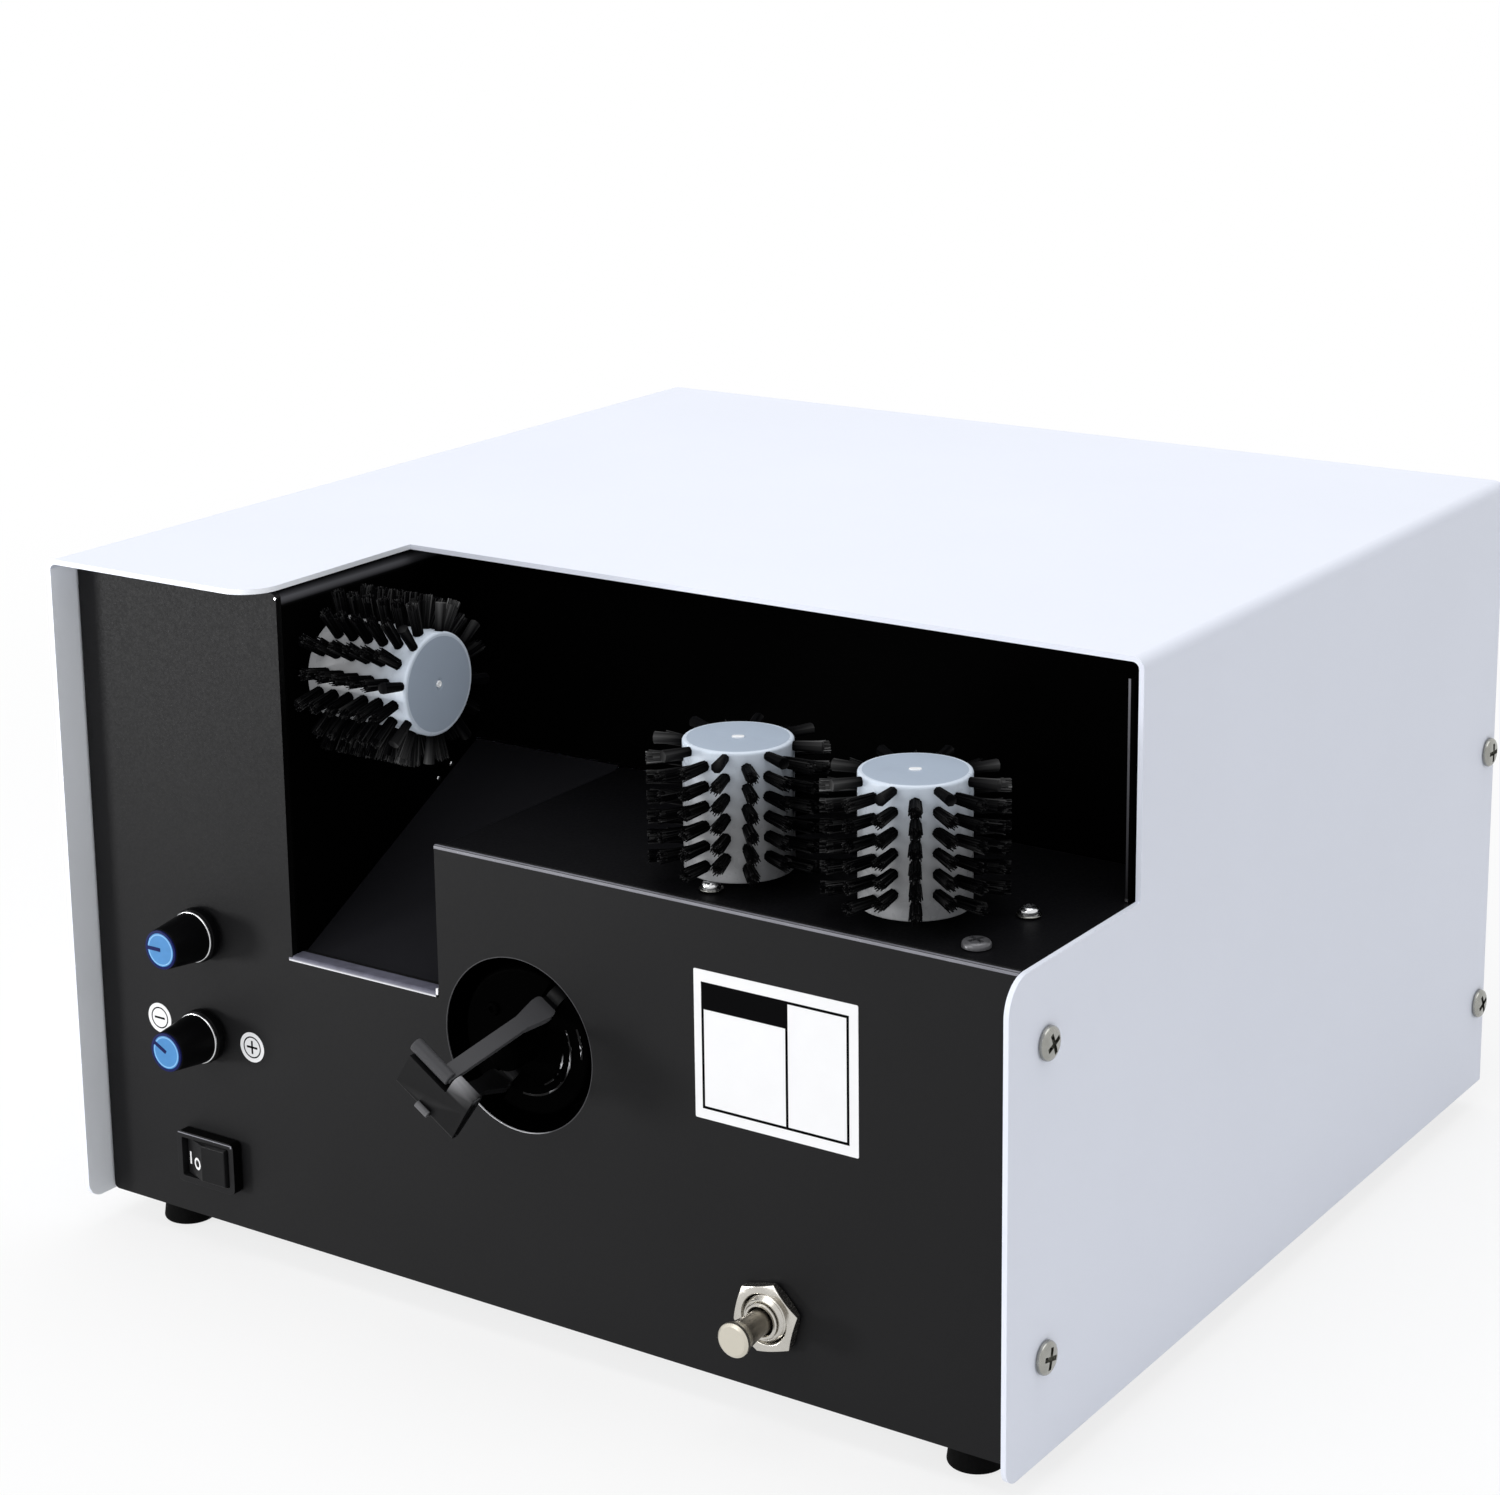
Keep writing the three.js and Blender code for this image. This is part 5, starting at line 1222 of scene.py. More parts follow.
@dataclass
class Brush:
    """Bristle brush: nylon sleeve with its cap, and rows of filament tufts around it."""

    name: str
    place: tuple[float, float, float]
    row_angle: float
    tilt: float = 0
    lit: float = 34
    hub: float = 13.9
    length: float = 33.5
    collar: float = 7
    collar_length: float = 1.9
    bore: float = 4.3
    bore_depth: float = 26
    dimple: float = 1.7
    dimple_highlight: tuple[float, float] = (1.6, 0.9)
    dimple_highlight_turn: float = 34
    reach: float = 23
    rows: int = 16
    tufts: int = 6
    pitch: float = 5.1
    filaments: int = 30
    filament: float = 0.22
    root: float = 1.35
    tip: float = 1.75
    seed: int = 11

    @property
    def matrix(self) -> Matrix:
        """The place of the brush, whose axis is its own Z."""
        return (Matrix.Translation(self.place) @ Matrix.Rotation(math.radians(self.tilt), 4, "Y")
                @ Matrix.Rotation(math.radians(self.row_angle), 4, "Z"))

    def sleeve(self) -> None:
        """Builds the nylon sleeve with its flat cap, the moulding dimple in it and the white pip
        painted as the dimple's highlight.
        """
        hub, top, collar, dimple = self.hub, self.length, self.collar_length, self.dimple
        sleeve = Shape().turn(Axis.Z, (0, 0), [
            (0, self.bore_depth), (self.bore, self.bore_depth), (self.bore, -collar),
            (self.collar, -collar, 0.5), (self.collar, 0, 0.3), (hub, 0, 0.5),
            *((hub, top - step) for step in (24, 20, 16, 12, 9, 6, 3, 1)), (hub, top, 0.7),
            *((hub - step, top) for step in (1, 1.6, 4)), (dimple + 1, top), (dimple, top, 0.4),
            (dimple * 0.7, top - 0.8, 0.4), (dimple * 0.4, top - 0.8, 0.2), (0, top - 0.3)], 96)
        thing = sleeve.moved(self.matrix).piece(
            f"sleeve_{self.name}", Finishes.NYLON, [f"brush_hub_{self.name}"], 0, body=self.body)
        rim, rise = hub - 1.15, 0.03
        cap = Shape().turn(Axis.Z, (0, 0), [
            (0, top - 0.3), (dimple * 0.6, top - 0.3, 0.3), (dimple, top + rise, 0.5),
            (rim, top + rise), (rim, top - 0.4), (0, top - 0.4)], 96)
        cap.moved(self.matrix).piece(f"cap_{self.name}", Finishes.CAP, bevel=0, body=self.body)
        # Painted highlight: a small white pip in the dimple.
        long, wide = self.dimple_highlight
        dimple_highlight = Shape().draw(Axis.Z, rectangle((-long, long), (-wide, wide), 0.9 * wide),
                            top - 0.5, top + 0.25)
        if long == wide:
            dimple_highlight.cut(Shape().rod(Axis.Z, (0, 0), wide / 2, top, top + 1, 24))
        turned = self.matrix @ Matrix.Rotation(math.radians(self.dimple_highlight_turn - self.row_angle), 4, "Z")
        dimple_highlight.moved(turned).piece(f"gate_{self.name}", Finishes.DIMPLE_HIGHLIGHT, bevel=0.15, body=self.body)

        def clear(point: Vector) -> float:
            """Share of the paler nylon, which grows towards the cap: painted light from above, and
            below it the real greyer look where the dark tuft roots show through.
            """
            return max((point.z - top + 20.5) / 18, 0) ** 1.6

        # Painted light: the sleeve pales towards the cap.
        shade(thing, clear, self.matrix)

    @property
    def body(self) -> str:
        """The body that the brush rides on."""
        return f"{self.name}_brush"

    def tuft_rows(self) -> None:
        """Grows the tufts: a rounded root and a flaring bundle of filaments at each hole."""
        tree = Growth(f"tufts_{self.name}")
        hub, reach = tree.size("Hub radius", self.hub), tree.size("Reach", self.reach)
        middle, pitch = tree.size("Middle", self.length / 2), tree.size("Pitch", self.pitch)
        rows, tufts = tree.size("Rows", self.rows), tree.size("Tufts in a row", self.tufts)
        bundle = tree.size("Filaments in a tuft", self.filaments)
        thick = tree.size("Filament radius", self.filament)
        root, tip = tree.size("Root radius", self.root), tree.size("Tip radius", self.tip)
        seed = tree.size("Seed", self.seed)
        finish = tree.size("Finish", Finishes.FILAMENT.build())

        def hole(tuft: bpy.types.NodeSocket) -> tuple[bpy.types.NodeSocket, ...]:
            """Finds a tuft's hole.

            Args:
                tuft: the tuft's number.

            Returns:
                The hole's angle, its place along the hub and whether it is there.
            """
            row = tree.floor(tree.shared(tuft, tufts))
            spot = tree.rest(tuft, tufts)
            odd = tree.rest(row, 2.0)
            last = tree.minus(tree.minus(tufts, 1.0), odd)
            off = tree.minus(spot, tree.times(last, 0.5))
            angle = tree.times(row, tree.shared(TURN, rows))
            level = tree.plus(middle, tree.times(off, pitch))
            return angle, level, tree.maths("LESS_THAN", spot, tree.plus(last, 0.5))

        def around(angle: bpy.types.NodeSocket, out: object, side: object,
                   place: object) -> bpy.types.NodeSocket:
            """Places a point about the brush's axis.

            Args:
                angle: the turn about the axis.
                out: the reach out from the axis.
                side: the step sideways.
                place: the place along the axis.

            Returns:
                The point.
            """
            cosine, sine = tree.cosine(angle), tree.sine(angle)
            x = tree.minus(tree.times(cosine, out), tree.times(sine, side))
            y = tree.plus(tree.times(sine, out), tree.times(cosine, side))
            return tree.point(x, y, place)

        index = tree.add("GeometryNodeInputIndex")
        every = tree.times(rows, tufts)
        angle, level, real = hole(index)
        knob = tree.add("GeometryNodeMeshUVSphere", Segments=8, Rings=5, Radius=1.0)
        outward = tree.towards(around(angle, 1.0, 0.0, 0.0))
        roots = tree.add("GeometryNodePoints", Count=every, Position=around(angle, hub, 0.0, level))
        wide = tree.plus(root, 0.15)
        plugs = tree.copies(roots, knob, Rotation=outward, Selection=real,
                            Scale=tree.point(wide, wide, tree.times(root, 0.9)))
        strand = tree.rest(index, bundle)
        tuft = tree.floor(tree.shared(index, bundle))
        angle, level, real = hole(tuft)
        stem = tree.add("GeometryNodeMeshCone", Vertices=8, Radius_Top=1.15, Radius_Bottom=0.9,
                        Depth=1.0)
        stem_length = tree.minus(tree.minus(reach, hub), 1.6)
        cores = tree.copies(roots, stem, Rotation=outward, Selection=real,
                            Scale=tree.point(root, root, stem_length))
        share = tree.maths("SQRT", tree.shared(tree.plus(strand, 0.5), bundle))
        lot = tree.add("FunctionNodeRandomValue", 1, n2=0.0, n3=1.0, Seed=seed)
        swirl = tree.plus(tree.times(strand, GOLDEN_ANGLE), tree.times(tuft, 1.7))
        side, rise = tree.cosine(swirl), tree.sine(swirl)

        def end(radius: object, out: object) -> bpy.types.NodeSocket:
            """One end of a filament, spread over the tuft's width there."""
            wide = tree.times(share, radius)
            return around(angle, out, tree.times(side, wide),
                          tree.plus(level, tree.times(rise, wide)))

        low = end(root, tree.minus(hub, 0.3))
        shorter = tree.times(tree.power(lot, 3.0), 0.9)
        high = end(tip, tree.minus(tree.minus(reach, 0.05), shorter))
        line = tree.add("ShaderNodeVectorMath", settings={"operation": "SUBTRACT"}, n0=high, n1=low)
        long = tree.add("ShaderNodeVectorMath", "Value", settings={"operation": "LENGTH"}, n0=line)
        needle = tree.add("GeometryNodeMeshCone", Vertices=4, Radius_Top=0.8, Radius_Bottom=1.0,
                          Depth=1.0)
        starts = tree.add("GeometryNodePoints", Count=tree.times(every, bundle), Position=low)
        strands = tree.copies(starts, needle, Selection=real, Rotation=tree.towards(line),
                              Scale=tree.point(thick, thick, long))
        thing = tree.grow(f"tufts_{self.name}", tree.join(plugs, cores, strands), finish, self.matrix)

        def tip_light(point: Vector) -> float:
            """Finds the painted light on the filaments: random glints that grow towards their ends,
            strongest on tufts that face the light and on the row nearest the cap.

            Args:
                point: a point in the brush's own frame.

            Returns:
                Its share at the point.
            """
            out = max((math.hypot(point.x, point.y) - self.reach + 3.2) / 3.2, 0)
            open_end = min(max((point.z - self.length + 6.5) / 2, 0), 1)
            way = math.atan2(point.y, point.x) + math.radians(self.row_angle - self.lit)
            lot = max(noise.noise(point * 1.1), 0)
            facing = abs(math.cos(way)) ** 8
            return out * (0.2 * lot + facing * (0.2 * lot + open_end * (0.15 + 0.8 * lot)))

        shade(thing, tip_light, self.matrix)
        dress(thing, Finishes.FILAMENT, self.body, [f"bristles_{self.name}"])

    def build(self) -> None:
        """Builds the whole brush."""
        self.sleeve()
        self.tuft_rows()


@dataclass
class TwistHead:
    """Rotor on its spindle with the two jaw levers, leaning as it stands at rest."""

    place: tuple[float, float, float] = (151, 0, 84)
    lean: float = 33.4
    front: float = 12.5
    disc: float = 20
    thickness: float = 7
    nose: float = 5
    nose_tip: float = 2
    barrel: float = 12.6
    barrel_bore: float = 8.7
    barrel_length: float = 18
    shaft: float = 7
    bore: float = 3.5
    rear: float = 94
    slot: float = 5.8
    slot_inner: float = 7.4
    slot_length: float = 18.5
    screw_circle: float = 12.5
    screw_head: float = 1.9
    screw_rise: float = 0.9
    # Radius, first angle and last angle of each thin arc on the rotor's front that carries painted
    # glints.
    glint_arcs: tuple[tuple[float, int, int], ...] = ((14.6, -62, 58), (12.2, -28, 30), (18.2, 30, 56))
    pivot: float = 15
    pivot_depth: float = 16.3
    pin: float = 1.5
    pin_length: float = 15
    eye: float = 3.3
    width: float = 4.2
    lever: float = 1.9
    lug: float = 3.3
    flare: float = 6.5
    tail_reach: float = 10.5
    tail: float = 1.1
    reach: float = 22.5
    roller_height: float = 4.2
    roller: float = 1.85
    bottom: float = 8.4
    block_back: float = 2.1
    block_half: float = 10.4
    shoulder: float = 6.8
    toe: float = 1.3
    bar_height: float = 7.3
    cone_start: float = 1.4
    cone_length: float = 8.5
    cone_tip: float = 3.4
    cone_base: float = 8
    over: float = 1

    @property
    def matrix(self) -> Matrix:
        """The place of the head, whose spindle lies along its own Y."""
        return Matrix.Translation(self.place) @ Matrix.Rotation(math.radians(self.lean), 4, "Y")

    def rotor(self) -> None:
        """Builds the slotted rotor on its hollow spindle, with pivot pins and two front screws."""
        start = self.front + self.thickness
        end = start + self.barrel_length
        hollow = end - self.thickness / 2
        body = Shape().turn(Axis.Y, (0, 0), [
            (0, self.nose_tip), (self.nose, self.nose_tip, 1.8), (self.nose, self.front, 0.6),
            (self.disc, self.front, 1.2), (self.disc, start, 0.6), (self.barrel, start, 0.4),
            (self.barrel, end, 0.8), (self.shaft, end, 0.4), (self.shaft, self.rear, 0.6),
            (self.bore, self.rear), (self.bore, hollow), (self.barrel_bore, hollow),
            (self.barrel_bore, start), (0, start)], 96)
        slots, pins, heads, keys = Shape(), Shape(), Shape(), Shape()
        top, sunk = self.front - self.screw_rise, self.front + self.over
        for side in (-1, 1):
            ends = sorted((side * self.slot_inner, side * (self.disc + self.over)))
            slots.block((-self.slot / 2, self.slot / 2),
                        (self.front - self.over, self.front + self.slot_length), ends)
            pins.rod(Axis.X, (self.pivot_depth, side * self.pivot), self.pin,
                     -self.pin_length / 2, self.pin_length / 2, 24)
            place = (side * self.screw_circle, 0)
            heads.turn(Axis.Y, place, [
                (0, top), (self.screw_head, top, 0.5), (self.screw_head, sunk), (0, sunk)], 32, arc=4)
            keys.rod(Axis.Y, place, self.screw_head / 2, top - self.over, top + 0.7, 6)
        body.cut(slots).weld(pins).weld(heads.cut(keys))
        # The rotor's near black is painted shade.
        body.moved(self.matrix).piece("rotor_turned", Finishes.ROTOR, ["spindle"], 0.15,
                                      body="spindle")
        glint_ring = Shape()
        for radius, first, last in self.glint_arcs:
            turns = [math.radians(first + k) for k in range(last - first + 1)]
            arc = [(radius * math.cos(turn), radius * math.sin(turn)) for turn in turns]
            arc += [(point[0] * 0.965, point[1] * 0.965) for point in reversed(arc)]
            glint_ring.draw(Axis.Y, arc, self.front - 0.25, self.front + 0.2)
        glint_ring = glint_ring.moved(self.matrix).piece("rotor_bead", Finishes.GLINT, bevel=0, body="spindle")
        # Painted glints: bright specks scattered by noise along the arcs.
        shade(glint_ring, lambda point: 8 * noise.noise(point * 0.8) - 1.9, self.matrix)

    def plan(self, reach: float) -> list[Corner]:
        """Outline of a lever from above: narrow in front, flared to a lug before the rotor.

        Args:
            reach: how far the lever goes to the front.

        Returns:
            The outline's corners.
        """
        half, end = self.width / 2, self.front - 0.6
        right = [(half, -(reach + self.width)), (half, end - 3 - self.flare, 5),
                 (self.lug, end - 3, 3), (self.lug, end, 1.5), (half, end),
                 (half, self.pivot_depth + self.tail_reach + 3)]
        left = [(-corner[0], *corner[1:]) for corner in reversed(right)]
        return right + left

    def bar(self, start: Corner, end: Corner, half: float) -> list[Corner]:
        """Outline of a straight bar between two points, with a round end.

        Args:
            start: where it starts.
            end: the middle of its round end.
            half: half its thickness.

        Returns:
            The outline's corners.
        """
        first, last = Vector(start), Vector(end)
        along = (last - first).normalized()
        side = Vector((-along.y, along.x)) * half
        tip = last + along * half
        return [(*(first + side),), (*(first - side),), (*(tip - side), half * 0.95),
                (*(tip + side), half * 0.95)]

    def cone_radius(self, depth: float) -> float:
        """Radius of the push rod's cone at a depth, with the rod at rest."""
        start = self.front + self.thickness + self.cone_start
        return self.cone_tip + (self.cone_base - self.cone_tip) * (depth - start) / self.cone_length

    def lever_shape(self, side: int, tip: float, reach: float) -> Shape:
        """Builds a jaw lever: eye, bar to the front and tail down to the cone.

        Args:
            side: 1 for the upper lever, -1 for the lower one.
            tip: the height of its front end off the axis.
            reach: how far it goes to the front.

        Returns:
            The lever's shape, in the head's own frame.
        """
        eye = (self.pivot_depth, side * self.pivot)
        across = (-self.lug, self.lug)
        deep = self.pivot_depth + self.tail_reach
        low = self.cone_radius(deep + self.tail) + 0.3 + self.tail
        lever = Shape().draw(Axis.X, self.bar(eye, (-reach, side * tip), self.lever / 2), *across)
        lever.weld(Shape().draw(Axis.X, self.bar(eye, (deep, side * low), self.tail), *across))
        lever.weld(Shape().rod(Axis.X, eye, self.eye, *across))
        lever.meet(Shape().draw(Axis.Z, self.plan(reach), -self.disc, self.disc))
        return lever.cut(Shape().rod(Axis.X, eye, self.pin + 0.3, -self.lug - self.over,
                                     self.lug + self.over, 32))

    def upper_jaw(self) -> None:
        """Builds the upper lever with the roller across its front end."""
        lever = self.lever_shape(1, self.roller_height, self.reach)
        start, end = -11.6, 1.6
        lever.weld(Shape().turn(Axis.X, (-self.reach, self.roller_height), [
            (0, start), (self.roller, start, 0.4), (self.roller, end, 0.4), (0, end)], 48, arc=4))
        edge = self.front - 0.8
        lever.score(Axis.Y, edge).moved(self.matrix)
        jaw = lever.piece("upper_lever", Finishes.OXIDE, ["upper_jaw"], body="upper_jaw")
        # Painted shade: faces behind the rotor's front, inside the hole, keep the near-black base, and
        # faces in front take the grey.
        shade(jaw, lambda point: point.y < edge, self.matrix, by_face=True)

    def lower_jaw(self) -> None:
        """Builds the lower lever with the rounded jaw plate, whose right half is taller."""
        lever = self.lever_shape(
            -1, self.bar_height, self.reach + self.block_back + self.over - self.lever / 2)
        nip = self.roller_height - self.roller - 0.5
        top, half = self.shoulder, self.block_back
        belly = top - 2.2 * half

        def lens(inset: float) -> Loop:
            """Draws the jaw plate's side, thickest below its rounded top.

            Args:
                inset: how far the outline is drawn in.

            Returns:
                The outline's points.
            """
            toe, wide, low = self.toe - inset, half - inset, inset - self.bottom
            right = [(toe, low, 0.9 * toe), (wide, belly, 9), (0.85 * wide, top - inset, 0.8 * wide)]
            left = [(-across, *rest) for across, *rest in reversed(right)]
            line = [left[-1], *right, *left[:-1]]
            return rounded([(across - self.reach, *rest) for across, *rest in line], 8)

        jaws = Shape().draw(Axis.X, lens(0), -self.block_half, self.block_half)
        jaws.cut(Shape().block((-self.block_half - self.over, 3), (-self.reach - 3, -self.reach + 3),
                               (nip, top + self.over)))
        jaws.cut(Shape().draw(Axis.X, lens(0.45), self.block_half - 0.8, self.block_half + self.over))
        lever.weld(jaws)
        fade = 4.5
        lever.score(Axis.Z, top - fade).moved(self.matrix)
        jaw = lever.piece("lower_lever", Finishes.JAW, ["lower_jaw"], body="lower_jaw")
        ahead = -self.reach - self.block_back

        def painted_top_highlight(point: Vector) -> float:
            """Finds the painted highlight: the plate's rounded top, fading downwards, and the lever's
            end in front of it.

            Args:
                point: a point in the head's own frame.

            Returns:
                Its share at the point.
            """
            if point.y < ahead - 0.15:
                return 0.4
            if point.x < 2.9 or point.x > self.block_half - 0.1 or point.y > ahead + 5:
                return 0
            return (point.z - top + fade) / fade

        shade(jaw, painted_top_highlight, self.matrix)

    def build(self) -> None:
        """Builds the whole head."""
        self.rotor()
        self.upper_jaw()
        self.lower_jaw()


@dataclass
class Knob:
    """Speed knob: tapered body with a bright ring, and a blue cap with its dark pointer."""

    name: str
    height: float
    pointer: float
    x: float = CONTROLS_X
    panel: float = PANEL_FACE
    lift: float = 1.2
    length: float = 15
    face: float = 5.6
    crown: float = 7
    skirt: float = 7.6
    skirt_length: float = 2.6
    cap: float = 4.8
    cap_rise: float = 0.4

    def build(self) -> None:
        """Builds the knob's three pieces."""
        base = self.panel - self.lift
        tip, edge = base - self.length, base - self.skirt_length
        centre, body = (self.x, self.height), f"{self.name}_knob"
        place = Matrix.Translation((self.x, 0, self.height))
        waist, crown, shelf = self.crown - 0.35, self.crown, edge - 0.9
        Shape().turn(Axis.Y, centre, [
            (0, tip + 0.2), (self.cap + 0.2, tip + 0.2), (self.cap + 0.2, tip, 0.1),
            (self.face, tip, 0.6), (crown, shelf, 0.15), (waist, shelf), (waist, edge),
            (self.skirt, edge, 0.4), (self.skirt, base, 0.3), (4.4, base), (4.4, base - 9.5),
            (2.8, base - 9.5), (2.8, 17.2), (0, 17.2)], 96).piece(
                f"knob_body_{self.name}", Finishes.PLASTIC, [f"knob_{self.name}"], 0, body=body)
        Shape().turn(Axis.Y, centre, [
            (crown - 0.3, edge - 0.95), (crown + 0.25, edge - 0.95, 0.3),
            (crown + 0.25, edge - 0.05, 0.3), (crown - 0.3, edge - 0.05)], 96, arc=4).piece(
                f"knob_ring_{self.name}", Finishes.BRIGHT, bevel=0, body=body)
        top = tip - self.cap_rise
        line, half, face = self.cap - 0.55, 0.25, top + 0.08
        cap = Shape().turn(Axis.Y, centre, [
            (0, face), (line - half, face), (line, face), (line + half, face),
            (self.cap, face, 0.25), (self.cap, tip + 0.25), (0, tip + 0.25)], 64, arc=4).piece(
                f"knob_cap_{self.name}", Finishes.BLUE, bevel=0, body=body)
        shade(cap, lambda point: 0.9 - abs(math.hypot(point.x, point.z) - line) / half, place)
        mark = Shape().draw(Axis.Y, rectangle((-self.cap + 0.05, 0), (-0.52, 0.52), 0.2),
                            top, top + 0.2, arc=4)
        inner, outer = self.cap - 0.02, self.cap + 0.65
        mark.turn(Axis.Y, (0, 0), [(inner, top + 0.02), (outer, top + 0.1), (outer, tip + 0.15),
                                   (inner, tip + 0.15)], 64)
        mark.moved(place @ Matrix.Rotation(math.radians(self.pointer), 4, "Y")).piece(
            f"knob_pointer_{self.name}", Finishes.NAVY, bevel=0, body=body)


@dataclass
class Controls:
    """Knobs with their marks, rocker switch and push button."""

    x: float = CONTROLS_X
    panel: float = PANEL_FACE
    upper: float = 93.5
    lower: float = 64
    lower_pointer: float = 28
    rocker_height: float = 27
    rocker_tilt: float = 10
    bezel: tuple[float, float] = (21, 15)
    bezel_rise: float = 3.4
    bezel_hole: tuple[float, float] = (17.4, 11.4)
    switch: tuple[float, float] = (18.6, 12.6)
    switch_hole: tuple[float, float] = (9.6, 6.6)
    knob_hole: float = 3.8
    button: tuple[float, float] = (228, 29.8)
    button_hole: float = 6.3
    nut_flats: float = 17
    nut_turn: float = 15
    over: float = 1

    def holes(self) -> Shape:
        """Draws what the controls cut out of the front panel.

        Returns:
            The holes' shape.
        """
        low, high = self.panel - self.over, self.panel + 3
        holes = Shape()
        for height in (self.upper, self.lower):
            holes.rod(Axis.Y, (self.x, height), self.knob_hole, low, high, 32)
        holes.rod(Axis.Y, self.button, self.button_hole, low, high, 48)
        wide, tall = self.switch_hole
        return holes.block((self.x - wide, self.x + wide), (low, high),
                           (self.rocker_height - tall, self.rocker_height + tall))

    def marks(self) -> None:
        """Builds the round minus and plus marks beside the lower knob."""
        white, dark = Shape(), Shape()
        face, raised = self.panel, self.panel - 0.09
        length, half = 1.9, 0.3
        rings = ((4.3, 3.15, white, 0.06), (3.15, 2.75, dark, 0.05), (2.75, 0, white, 0.06))
        for (x, z), plus in (((23.9, 64.8), False), ((58.3, 63.4), True)):
            for outer, inner, shape, lift in rings:
                shape.turn(Axis.Y, (x, z), [(inner, face - lift), (outer, face - lift),
                                            (outer, face + 0.1), (inner, face + 0.1)], 64)
            dark.block((x - length, x + length), (raised, face), (z - half, z + half))
            for low, high in ((-length, -half - 0.01), (half + 0.01, length)) if plus else ():
                dark.block((x - half, x + half), (raised, face), (z + low, z + high))
        white.piece("speed_marks", Finishes.PRINT, bevel=0)
        dark.piece("speed_mark_lines", Finishes.INK, bevel=0)

    def rocker(self) -> None:
        """Builds the rocker switch: bezel, body, terminals and the tilted key with its signs."""
        x, z, front = self.x, self.rocker_height, self.panel - 0.3
        face = front - self.bezel_rise

        def box(size: Corner, radius: float) -> Loop:
            """Rounded rectangle about the switch's middle."""
            width, height = size
            return rounded(rectangle((x - width / 2, x + width / 2),
                                     (z - height / 2, z + height / 2), radius), 5)

        bezel = Shape().draw(Axis.Y, box(self.bezel, 1.6), face, front)
        bezel.weld(Shape().draw(Axis.Y, box(self.switch, 0.3), front - 0.3, front + 15))
        bezel.cut(Shape().draw(Axis.Y, box(self.bezel_hole, 0.5), face - self.over, front + 7))
        blades = Shape()
        for middle in (x - 6, x, x + 6):
            blades.block((middle - 0.4, middle + 0.4), (front + 14.7, front + 22), (z - 2, z + 2))
        bezel.weld(blades)
        bezel = bezel.piece("switch_bezel", Finishes.BEZEL, ["rocker_housing"], 0.4, 3)

        def skirt(point: Vector) -> float:
            """Share of the painted shade on the bezel's sides, behind its front edge."""
            wide, tall = self.switch_hole
            return point.y > face + 0.3 and (abs(point.x - x) > wide or abs(point.z - z) > tall)

        # Painted shade on the bezel's sides.
        shade(bezel, skirt, by_face=True)
        # Painted highlight: a light line along the bezel's top front edge, and a painted glint at its
        # top right corner.
        line = Shape().block((x - 10, x + 9.8), (face - 0.03, face + 0.2), (z + 6.8, z + 7.12))
        line.block((x + 9.5, x + 10), (face - 0.04, face + 0.2), (z + 6.3, z + 7.1))
        line.piece("switch_edge", Finishes.EDGE, bevel=0.02)
        tilt = Matrix.Rotation(math.radians(-self.rocker_tilt), 4, "Z")
        pivot = Matrix.Translation((x, face + 1.2, z)) @ tilt
        half, end, ridge = 8.3, -0.9, -2.4
        key = Shape().draw(Axis.Z, [
            (-half, end, 0.35), (0, ridge, 0.8), (half, end, 0.35), (half - 0.7, 2.6),
            (0.7 - half, 2.6)], -5.4, 5.4)
        key.moved(pivot).piece("rocker_key", Finishes.KEY, ["rocker"], 0.35, 3, body="rocker")
        slope = math.atan2(end - ridge, half)
        lie = pivot @ Matrix.Translation((-half, end, 0)) @ Matrix.Rotation(-slope, 4, "Z")
        stroke, tall, ring, low, high, middle = 0.8, 3.6, 1.75, -0.08, 0.2, -0.9
        signs = Shape().turn(Axis.Y, (6, middle), [
            (ring - 0.65, low), (ring, low), (ring, high), (ring - 0.65, high)], 40)
        signs.block((1.6, 1.6 + stroke), (low, high),
                    (middle - tall / 2 + 0.5, middle + tall / 2 + 0.5))
        signs.moved(lie).piece("rocker_signs", Finishes.PRINT, bevel=0, body="rocker")

    def push_button(self) -> None:
        """Builds the threaded bush, the chamfered hexagon nut and the mushroom plunger."""
        face, centre = self.panel, self.button
        front, body = face - 5, face + 2 + 14
        pitch = 0.75
        thread = []
        for k in range(4):
            place = front + 2.2 + k * pitch
            thread += [(5.62, place + 0.1), (6, place + 0.35)]
        Shape().turn(Axis.Y, centre, [
            (3.75, front + 1.2), (3.75, front + 0.3), (4, front), (4.5, front), (4.75, front + 0.3),
            (4.75, front + 1.6), (5.05, front + 1.6), (5.05, front + 0.9), (5.3, front + 0.9),
            (5.95, front + 1.9), *thread,
            (6, face + 2.3), (7, face + 2.3), (7, body + 9), (0, body + 9), (0, body), (3.75, body)],
            64).piece("button_thread", Finishes.NICKEL, ["button_bush"], 0)
        low, high, corner = face - 3.3, face - 0.3, self.nut_flats / math.sqrt(3)
        turned = Matrix.Rotation(math.radians(self.nut_turn), 2)
        hexagon = [tuple(turned @ Vector(point) + Vector(centre))
                   for point in circle((0, 0), corner, 6)]
        nut = Shape().draw(Axis.Y, hexagon, low, high)
        nut.meet(Shape().turn(Axis.Y, centre, [
            (0, low), (8.3, low), (corner, low + 0.75), (corner, high - 0.75), (8.3, high),
            (0, high)], 96))
        nut.cut(Shape().turn(Axis.Y, centre, [
            (0, low - 1), (7.3, low - 1), (6.55, low + 0.4), (6.55, high + 1), (0, high + 1)], 96))
        nut.piece("button_hexagon", Finishes.NICKEL, ["button_nut"], 0.12)
        tip, head = face - 17.2, 4.5
